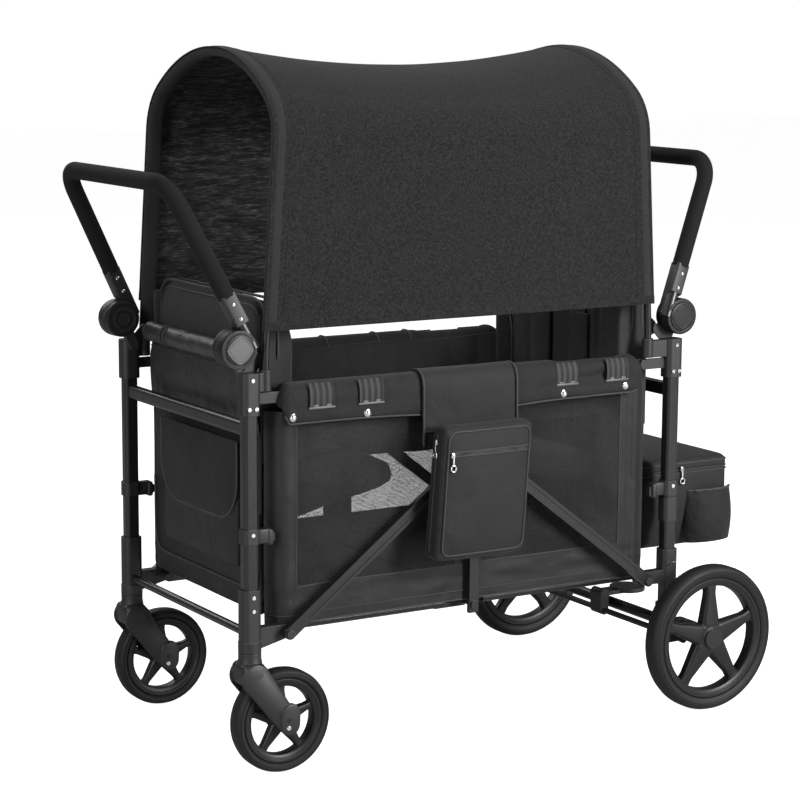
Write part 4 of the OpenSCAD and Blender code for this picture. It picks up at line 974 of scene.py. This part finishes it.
front_pocket = soft_box("front_pocket", at(-439, -150, 362), at(-427, 150, 585), 5, 5, front_pocket_shape)
dress(front_pocket, tub_cloth, "front_frame", fill=0.3)
pocket_flap = grid("front_pocket_flap", spread(-1, 1, 30), spread(443.5, 594, 28), flap_spot, 2.6)
dress(shade(pocket_flap, 60), bag_cloth, "front_frame")
flap_line = ([flap_spot(-1, z, 1.5) for z in spread(592, 444, 40)]
             + [flap_spot(s, 443.8, 1.5) for s in spread(-1, 1, 30)]
             + [flap_spot(1, z, 1.5) for z in spread(444, 592, 40)])
dress(rod("front_pocket_piping", flap_line, 2.4), piping_cloth, "front_frame")


# Seats: blown-up pads with sewn channels, piping and shoulder straps

BACK_FACE, BACK_HALF, BACK_LOW, BACK_TOP = 388, 200, 334, 856
BACK_CHANNELS, CUSHION_CHANNELS = (-120, -40, 40, 120), (-68, 68)
STRAP_LOW, STRAP_TOP = 560, 790


def puffed(piece, cap, voxel=6.0, pressure=4.0, steps=20):
    """Remeshes a pad and blows it up with the cloth solver, no further than cap."""
    modify(piece, "REMESH", mode="VOXEL", voxel_size=voxel * MM)
    rest = [point.co.copy() for point in piece.data.vertices]
    take(piece)
    solver = piece.modifiers.new("Cloth", "CLOTH")
    solver.settings.use_pressure = True
    solver.settings.uniform_pressure_force = pressure
    solver.settings.effector_weights.gravity = 0
    solver.point_cache.frame_start, solver.point_cache.frame_end = 1, steps
    for step in range(1, steps + 1):
        bpy.context.scene.frame_set(step)
    bpy.ops.object.modifier_apply(modifier=solver.name)
    bpy.context.scene.frame_set(1)
    for point, start in zip(piece.data.vertices, rest):
        move = point.co - start
        if move.length > cap * MM:
            point.co = start + move * (cap * MM / move.length)


def flared(y, z):
    """The backs are wider above the bumpers."""
    return y * (1 + 0.1 * ramp(700, 765, z))


def back_shape(p):
    """Rounds the back's corners in its own plane."""
    _, y, z = spot_of(p)
    way, edge, radius = (1, BACK_TOP, 52) if z > 600 else (-1, BACK_LOW, 24)
    cy, cz = BACK_HALF - radius, edge - way * radius
    over_y, over_z = abs(y) - cy, way * (z - cz)
    if over_y > 0 and over_z > 0:
        shrink = max(over_y, over_z) / hypot(over_y, over_z)
        y = copysign(cy + over_y * shrink, y)
        z = cz + way * over_z * shrink
    return Vector((p.x, flared(y, z) * MM, z * MM))


def back_swell(y, z):
    return 4 * ramp(BACK_HALF, 150, abs(y)) * ramp(BACK_LOW, 420, z) * ramp(BACK_TOP, 778, z)


def back_line(name, x, inset, radius, thick):
    """Piping around the back, a little in from its edge."""
    half = BACK_HALF - inset
    return rod(name, outline(-half, half, BACK_LOW + inset + 2, BACK_TOP - 1 - inset, radius,
                             lambda y, z: at(x, flared(y, z), z)), thick, closed=True)


def strap_spot(y, z):
    """A point of a shoulder strap, which stands off the back between its ends."""
    bow = 7 * sin(pi * (z - STRAP_LOW) / (STRAP_TOP - STRAP_LOW))
    return at(BACK_FACE - back_swell(y, z) - 8.5 - bow, y, z)


def shoulder_pad(y):
    """A small pad over a strap, fullest along its middle."""
    def shape(p):
        return Vector((p.x - 6 * MM * dome((p.y / MM - y) / 30), p.y, p.z))

    return soft_box("shoulder_pad", at(370, y - 30, 640), at(377, y + 30, 770), 3.2, 4, shape)


back = soft_box("seat_back_rear_pad", at(BACK_FACE, -BACK_HALF, BACK_LOW), at(414, BACK_HALF, BACK_TOP),
                9, 11, back_shape)
puffed(back, 6)
for point in back.data.vertices:
    x, y, z = spot_of(point.co)
    if x < 396:
        groove = sum(hump(y, channel, 5.5) for channel in BACK_CHANNELS)
        point.co.x += 8 * groove * ramp(200, 176, abs(y)) * ramp(338, 372, z) * ramp(854, 818, z) * MM
        point.co.x -= back_swell(y, z) * MM
shade(soften(back), 70)
cushion = soft_box("seat_cushion_rear_pad", at(118, -200, 444), at(376, 200, 486), 15, 11)
puffed(cushion, 8)
for point in cushion.data.vertices:
    x, y, z = spot_of(point.co)
    if z > 468:
        crown = dome(y / 200) * dome((x - 247) / 130)
        groove = sum(hump(y, channel, 6) for channel in CUSHION_CHANNELS)
        groove = groove * ramp(120, 150, x) * ramp(376, 350, x)
        point.co.z += (9 * crown - 7 * groove) * MM
cushion.data.transform(turn_about(at(376, 0, 444), "Y", 12))
shade(soften(cushion), 70)
back_lines = (("face", 391, 1, 50, 2.6), ("rear_face", 412.5, 1, 50, 2.6),
              ("inner_face", 416.5, 14, 42, 1.6))
back_piping = joined("seat_back_piping_rear", [back_line(*line) for line in back_lines])
straps, strap_pads = [], []
for y in (-66, 66):
    straps.append(grid("strap", spread(y - 19, y + 19, 6), spread(STRAP_LOW, STRAP_TOP, 30), strap_spot, 1.8))
    strap_pads.append(shoulder_pad(y))
straps = joined("seat_straps_rear", straps)
strap_pads = joined("shoulder_pads_rear", strap_pads)
wings = []
for side in (-1, 1):
    wings.append(grid("wing", spread(0, 1, 12), spread(0, 1, 26), lambda s, t: at(
        360 + 66 * s, side * (213 + 5 * s - 4 * sin(pi * t) * sin(pi * s)),
        560 + t * (270 - 55 * (1 - sqrt(1 - max(0, 1 - s / 0.7) ** 2)))), 9))
wings = shade(soften(joined("seat_wings_rear", wings)), 60)
seat_pieces = [(back, pad_cloth, 0.7, "seat_back"), (cushion, pad_cloth, 0.7, "seat_cushion"),
               (back_piping, piping_cloth, None, None), (straps, strap_webbing, None, None),
               (strap_pads, pad_cloth, 0.7, None), (wings, pad_cloth, 0.7, None)]
for piece, finish, fill, seat_node in seat_pieces:
    twin = copied(piece, piece.name.replace("rear", "front"), END_TO_END)
    for made, tag, side in ((piece, "rear", 1), (twin, "front", -1)):
        dress(made, finish, tag + "_frame", *([f"{tag}_{seat_node}"] if seat_node else []), fill=fill)
        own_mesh(made)


# Box bag behind the rear legs

def bag_swell(p):
    x, y, z = spot_of(p)
    u, v, w = (x - 542) / 112, y / 203, (z - 384) / 85
    sag = 6 * dome(u) * dome(v)
    p.z += (-sag if w < 0 else 0.6 * sag) * abs(w) * MM
    p.y += copysign(5, y) * abs(v) ** 3 * dome(w) * dome(u) * MM
    p.x += 5 * max(0, u) ** 3 * dome(w) * dome(v) * MM
    p.y *= 1 - 0.05 * ramp(0, -1, w)
    return p


def bag_ring(z, out, share=1.0):
    """Rounded outline of the bag, moved out and shrunk about its middle."""
    ring = []
    reach = 16 + out
    for x, y, start in ((446, -187, 180), (636, -187, 270), (636, 187, 0), (446, 187, 90)):
        ring += [at(541 + (x - 541 + reach * cos(radians(a))) * share,
                    (y + reach * sin(radians(a))) * share, z) for a in spread(start, start + 90, 6)]
    return ring


def net_pocket_spot(s, t):
    """Bulging end pocket, gathered at its elastic top."""
    angle = radians(-160 + 150 * s)
    fat = 22 * sin(pi * (0.12 + 0.7 * (1 - t)))
    ruffle = 1.2 * sin(s * 34) * ramp(0.75, 1.0, t)
    return at(598 + (56 + 0.25 * fat) * cos(angle), -197 + (14 + fat + ruffle) * sin(angle), 308 + 106 * t)


rear_bag = soft_box("rear_bag_body", at(430, -203, 300), at(652, 203, 468), 18, 5, bag_swell)
dress(rear_bag, bag_cloth, "rear_frame", "rear_bag", fill=0.5)
lid_levels = ((456, -6, 1), (456, 0.4, 1), (466, 0.4, 1), (474, -2.5, 1), (479, -8, 1),
              (482, -9, 0.9), (485, -9, 0.7), (486, -9, 0.4))
lid = loft("rear_bag_lid", [bag_ring(*level) for level in lid_levels])
dress(shade(soften(lid), 60), bag_cloth)
bag_lines = [rod("line", bag_ring(z, out), radius, closed=True)
             for z, out, radius in ((470, -0.6, 1.8), (457, 0.4, 1.2), (451, 0.6, 1.3))]
dress(joined("rear_bag_piping", bag_lines), piping_cloth)
zip_pull("rear_bag_pull", at(530, -206, 460), (0, -1, 0))
net_pocket = grid("rear_bag_end_pocket", spread(0, 1, 70), spread(0, 1, 20), net_pocket_spot, 1.4)
dress(shade(net_pocket, 70), flap_cloth)
dress(rod("rear_bag_elastic", [net_pocket_spot(s, 1.0) for s in spread(0, 1, 80)], 2.6), piping_cloth)


# Wheels: spun tyre with ring grooves, rim with lips, and five tapered spokes

REAR_HUB = [(6.3, -16), (20, -16), (22.5, -13), (22.5, 13), (21.5, 15.4), (19.5, 16.4), (18.6, 15.4),
            (6.3, 15.4), (6.3, -16)]
FRONT_HUB = [(5.3, -18), (15, -18), (17, -15), (17, 15), (15, 18), (5.3, 18), (5.3, -18)]


def both_faces(half_profile):
    """A closed profile from one that runs from the inner edge of a face to its outer edge, or back."""
    mirrored = [(r, -a) for r, a in half_profile]
    return mirrored + half_profile[::-1] + mirrored[:1]


def tyre_profile(r, depth, half):
    inner = r - depth + 0.3
    return both_faces([(inner, 0.8 * half), (inner + 0.2 * depth, half - 0.3), (r - 0.52 * depth, half),
                       (r - 0.49 * depth, half - 1.3), (r - 0.45 * depth, half - 1.3),
                       (r - 0.42 * depth, half), (r - 0.28 * depth, 0.95 * half),
                       (r - 0.1 * depth, 0.76 * half), (r, 0.42 * half)])


def rim_profile(r, depth, half):
    return both_faces([(r - share * depth, level * half) for share, level in (
        (0, 0.86), (0.12, 1), (0.4, 0.98), (0.48, 0.86), (0.75, 0.84), (0.94, 0.7), (1, 0.5))])


def spoke(centre, r_from, r_to, widths, depths):
    """A tapered spoke that widens again where it meets the rim, with a raised ridge on each face."""
    rings = []
    for t in (0, 0.2, 0.5, 0.8, 0.93, 1.0):
        w = (widths[0] + (widths[1] - widths[0]) * min(1, t / 0.85)) / 2
        w += 3.5 * ramp(0.86, 1.0, t) * widths[1] / 20
        d = (depths[0] + (depths[1] - depths[0]) * t) / 2
        ring = [(-w, -0.62 * d), (-0.72 * w, -d), (0.72 * w, -d), (w, -0.62 * d),
                (w, 0.62 * d), (0.72 * w, d), (-0.72 * w, d), (-w, 0.62 * d)]
        rings.append([centre + Vector((x, y, r_from + (r_to - r_from) * t)) * MM for x, y in ring])
    return modify(loft("spoke", rings), "BEVEL", width=1.4 * MM, segments=2)


def wheel(end, tag, side, centre, r, depth, half, rim_depth, hub, widths, depths, hub_profile):
    tyre = turned(f"{end}_tread_{tag}", tyre_profile(r, depth, half), centre, steps=96)
    dress(tyre, tyre_rubber, f"{end}_wheel_{tag}", f"{end}_tyre_{tag}")
    r_rim = r - depth
    first = spoke(centre, hub * 0.55, r_rim - rim_depth + 2.5, widths, depths)
    parts = [turned("rim", rim_profile(r_rim, rim_depth, 0.84 * half), centre, steps=96)]
    parts += [copied(first, f"spoke_{i}", turn_about(centre, "Y", 72 * i)) for i in range(1, 5)] + [first]
    parts.append(turned("hub", hub_profile, centre, (0, side, 0), 48))
    star = shade(joined(f"{end}_star_{tag}", parts), 35)
    dress(star, wheel_plastic, f"{end}_wheel_{tag}", f"{end}_rim_{tag}")


for side, tag in SIDES:
    wheel("rear", tag, side, at(513, side * 325, 145), 145, 24, 20, 17, 26, (47, 21), (28, 19), REAR_HUB)
    wheel("front", tag, side, at(FRONT_AXLE_X, side * LEG_Y, FRONT_AXLE_Z), 96, 17, 18, 16, 17,
          (28, 13), (21, 15), FRONT_HUB)


# Front forks: collar, crown and two arms with oblong axle covers

COLLAR = [(8, 25), (8, 0), (20, 0), (20.8, -1), (20.8, -12), (22, -16), (22.5, -24), (0, -24)]
FORK_BOLT = [(0, 3.0), (3.6, 2.8), (4.8, 1.8), (5.0, -1.5), (0, -1.5)]
SWIVEL, ARM_END = (-LEG_X, 184.5), (-404, 100)
ARM_NEAR, ARM_FAR = 21.5, 29.2
ARM_LEVELS = ((0.8, ARM_NEAR), (0, ARM_NEAR + 1.2), (0, ARM_FAR - 3.5), (1.0, ARM_FAR - 1.6), (3.6, ARM_FAR))
COVER_LEVELS = ((0, ARM_FAR - 4), (0, ARM_FAR + 2.2), (1.4, ARM_FAR + 3.8), (4.0, ARM_FAR + 4.6))


def taper(c1, r1, c2, r2, steps=14):
    """Outline of two circles wrapped by one band, in XZ."""
    (x1, z1), (x2, z2) = c1, c2
    heading = atan2(z2 - z1, x2 - x1)
    turn = acos((r1 - r2) / hypot(x2 - x1, z2 - z1))
    first = [(x1 + r1 * cos(a), z1 + r1 * sin(a))
             for a in spread(heading + turn, heading + 2 * pi - turn, steps)]
    second = [(x2 + r2 * cos(a), z2 + r2 * sin(a)) for a in spread(heading - turn, heading + turn, steps)]
    return first + second


def fork_side(name, c1, r1, c2, r2, y, face, levels):
    """One side of a fork from levels of (shrink, out), which round its edges."""
    return loft(name, [[at(x, y + face * out, z) for x, z in taper(c1, r1 - shrink, c2, r2 - shrink)]
                       for shrink, out in levels])


for side, tag in SIDES:
    mid = side * LEG_Y
    parts = [turned("collar", COLLAR, at(-LEG_X, mid, 229.4), (0, 0, 1), 40)]
    for face in (-1, 1):
        parts.append(fork_side("arm", SWIVEL, 28, ARM_END, 22, mid, face, ARM_LEVELS))
        parts.append(fork_side("cover", (-399, 92), 19.5, (-398, 112), 19.5, mid, face, COVER_LEVELS))
    crown = block("crown", at(-490, mid - 29, 178), at(-444, mid + 29, 212), 11, 4)
    for point in crown.data.vertices:
        x, _, z = spot_of(point.co)
        point.co.z -= 10 * MM * ramp(-470, -492, x) * ramp(196, 178, z)
    fork = shade(joined("fork_shell_" + tag, parts + [crown]), 40)
    body = "front_caster_" + tag
    dress(fork, moulded, body, "fork_" + tag)
    bolts = [turned("bolt", FORK_BOLT, at(-404, mid + face * 33.4, 88), (0, face, 0), 20) for face in (-1, 1)]
    dress(joined("fork_bolts_" + tag, bolts), bright_steel, body)
    # Dark blocks stand in for the slots in the axle covers: painted shade of the slot openings.
    slot_shades = [block("slot", at(-407, mid + face * 33.3 - 0.6, 97), at(-400, mid + face * 33.3 + 0.9, 106), 0.4)
             for face in (-1, 1)]
    dress(joined("fork_slots_" + tag, slot_shades), tyre_rubber, body, slot="moulded_plastic")


# Jaws of the leg clips, each a block and a lip: outer and inner x, half width, reach down and up, edge

CLIP_BLOCKS = ((451, 424, 8, 13, 14, 3), (431, 421, 9.5, 16, 12, 2.5))
for sign, end in ENDS:
    middle_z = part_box(end + "_clips")[1].z / MM - 16
    jaws = []
    for y in (-LEG_Y, LEG_Y):
        for x_out, x_in, half, low, high, edge in CLIP_BLOCKS:
            jaws.append(block("jaw", at(sign * x_out, y - half, middle_z - low),
                              at(sign * x_in, y + half, middle_z + high), edge))
    dress(shade(joined(end + "_clip_jaws", jaws), 40), moulded, end + "_frame")


# Push bars: flat-sided arm sleeves with rivets, disc bezels, buttons with plain plates

ARM_IN, ARM_FOOT_Y, ARM_INSET = radians(5.5), 250, 32
BUTTON_FACE = -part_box("front_button_near")[0].y / MM
SLEEVE_BACK = 13.4
SLEEVE_LEVELS = ((4, 0.97, 1), (5, 1.0, 1), (44, 1.0, 1), (50, 1.0, SLEEVE_BACK), (107, 1.0, SLEEVE_BACK),
                 (108.2, 0.97, SLEEVE_BACK))
SLEEVE_RIVET = [(0, 2.0), (2.4, 1.8), (3.6, 0.9), (3.8, -1), (0, -1)]
BEZEL = [(34.2, 0.5), (35.2, 1.5), (35.4, 5), (34.8, 5.6), (34.8, 7), (35.4, 7.6), (35.4, 23.4), (34.3, 26.2),
         (31.4, 27.2), (29.2, 27.0), (28.6, 24.6)]
CAP = [(0, 0.4), (24.5, 0.4), (27.0, -0.3), (27.8, -1.6), (27.8, -6), (0, -6)]
PLATE_LEVELS = ((26.0, -1), (26.0, 0.9), (25.0, 1.7), (22.4, 1.7), (22.0, 1.2), (21.2, 1.2), (20.6, 1.8),
                (2.0, 2.0))
INNER_RINGS = [(30, -13), (34.2, -12.4), (34.8, -11), (34.8, -3), (33.4, -0.6), (30, 0.4), (25, 0.4),
               (24, -1.4), (19, -1.4), (18, 0.4), (12.5, 0.4), (11.5, -1.2), (0, -1.2)]
DIAMOND_POWER = 1.35


def rounded_square(half_a, half_b, radius, steps=4):
    ring = []
    for sa, sb, start in ((1, 1, 0), (-1, 1, 90), (-1, -1, 180), (1, -1, 270)):
        ring += [(sa * (half_a - radius) + radius * cos(radians(a)),
                  sb * (half_b - radius) + radius * sin(radians(a)))
                 for a in spread(start, start + 90, steps)]
    return ring


def diamond(x, y, size):
    """A rounded diamond around a pivot disc's middle."""
    spots = []
    for a in around(48):
        reach = size / (abs(cos(a)) ** DIAMOND_POWER + abs(sin(a)) ** DIAMOND_POWER) ** (1 / DIAMOND_POWER)
        spots.append(at(x + reach * cos(a), y, DISC_Z + reach * sin(a)))
    return spots


for end, disc_x, lean, degrees in (("front", FRONT_DISC, -1, 27), ("rear", REAR_DISC, 1, 22.5)):
    tilt = radians(degrees)
    handle = end + "_handle"
    sleeves, rivets, bezels = [], [], []
    for side, tag in SIDES:
        foot = at(disc_x - lean * ARM_INSET, side * ARM_FOOT_Y, DISC_Z)
        way = Vector((lean * sin(tilt) * cos(ARM_IN), -side * sin(ARM_IN), cos(tilt) * cos(ARM_IN)))
        flat = Vector((cos(tilt), 0, -lean * sin(tilt)))
        out = way.cross(flat).normalized()
        if out.y * side < 0:
            out = -out
        rings = [[foot + (way * along + flat * a + out * (b - (SLEEVE_BACK - face) / 2)) * MM
                  for a, b in rounded_square(14.2 * k, (SLEEVE_BACK + face) / 2 * k, 4 * k)]
                 for along, k, face in SLEEVE_LEVELS]
        sleeves.append(loft("sleeve", rings))
        for along in (60, 89):
            rivets += [turned("rivet", SLEEVE_RIVET, foot + way * along * MM + face * 13.5 * MM, face, 20)
                       for face in (out, -out)]
        outward = (0, side, 0)
        bezels.append(turned("bezel", BEZEL, at(disc_x, side * DISC_IN, DISC_Z), outward))
        button = f"{end}_button_{tag}"
        cap = turned(f"{end}_button_cap_{tag}", CAP, at(disc_x, side * BUTTON_FACE, DISC_Z), outward)
        dress(cap, disc_plastic, button, button)
        plate = loft(f"{end}_button_plate_{tag}",
                     [diamond(disc_x, side * (BUTTON_FACE + proud), size) for size, proud in PLATE_LEVELS])
        dress(shade(plate, 35), plate_plastic if end == "front" else disc_plastic, button)
        inner = turned(f"{end}_disc_rings_{tag}", INNER_RINGS,
                       at(disc_x, side * DISC_BACK, DISC_Z), (0, -side, 0), 56)
        dress(inner, disc_plastic, end + "_frame")
    dress(shade(joined(end + "_arm_sleeves", sleeves), 40), moulded, handle, slot="frame_metal")
    dress(joined(end + "_arm_rivets", rivets), bright_steel, handle)
    dress(shade(joined(end + "_disc_bezels", bezels), 35), disc_plastic, handle)


# Floor, light and camera

WHITE = (1, 1, 1, 1)


def lamp(name, place, aim, size, power):
    data = bpy.data.lights.new(name, "AREA")
    data.shape = "RECTANGLE"
    data.size, data.size_y = size
    data.energy = power
    holder = placed(name, data)
    holder.location = place
    holder.rotation_euler = (Vector(aim) - Vector(place)).to_track_quat("-Z", "Y").to_euler()
    holder.visible_camera = False


clear()
bpy.ops.mesh.primitive_plane_add(size=40, location=(0, 0, -0.0005))
ground = bpy.context.object
ground.name = "studio_floor"
paper, paper_tree, paper_shader = blank("studio_paper", 0.9, specular=0.1)
paper_shader["Base Color"].default_value = (0.5, 0.5, 0.5, 1)
paper_shader["Emission Strength"].default_value = 0.9
feed(paper_tree, paper_shader["Emission Color"], node(paper_tree, "LightPath").outputs["Is Camera Ray"])
ground.data.materials.append(paper)

world = bpy.data.worlds.new("studio")
bpy.context.scene.world = world
world.use_nodes = True
sky = world.node_tree
ambient = sky.nodes["Background"]
ambient.inputs["Color"].default_value = WHITE
ambient.inputs["Strength"].default_value = 0.16
seen = node(sky, "Background", Color=WHITE)
looked_at = node(sky, "LightPath").outputs["Is Camera Ray"]
choice = node(sky, "MixShader", looked_at, ambient.outputs[0], seen.outputs[0])
feed(sky, sky.nodes["World Output"].inputs["Surface"], choice.outputs[0])
bpy.context.scene.view_settings.view_transform = "Standard"

lamp("key", (2.0, -4.0, 2.3), (0, 0, 0.6), (1.1, 2.8), 350)
lamp("fill", (-4.4, -2.0, 2.2), (0, 0, 0.6), (0.8, 2.4), 130)
lamp("top", (0.3, 0.2, 4.6), (0, 0, 0.5), (2.0, 2.0), 58)
lamp("back", (-0.6, 4.2, 3.4), (0, 0, 0.7), (3.2, 2.4), 80)
lamp("under_canopy", (MIDDLE, 0, 1.12), (MIDDLE, 0, 0.5), (0.6, 0.3), 1.6)

# The view fitted to the photograph
YAW, PITCH, ROLL = (radians(d) for d in (-31.2816, 9.3382, 0.3565))
VIEWPOINT = at(-2383.27, -3916.49, 1366.02)
ahead = Vector((-sin(YAW) * cos(PITCH), cos(YAW) * cos(PITCH), -sin(PITCH)))
right = Vector((cos(YAW), sin(YAW), 0))
above = right.cross(ahead)
right, above = right * cos(ROLL) + above * sin(ROLL), above * cos(ROLL) - right * sin(ROLL)
camera_data = bpy.data.cameras.new("photo_view")
camera_data.sensor_width = 36
camera_data.lens = 107.43
camera_data.clip_end = 100
camera = placed("photo_view", camera_data)
camera.matrix_world = Matrix.Translation(VIEWPOINT) @ Matrix((right, above, -ahead)).transposed().to_4x4()
bpy.context.scene.camera = camera
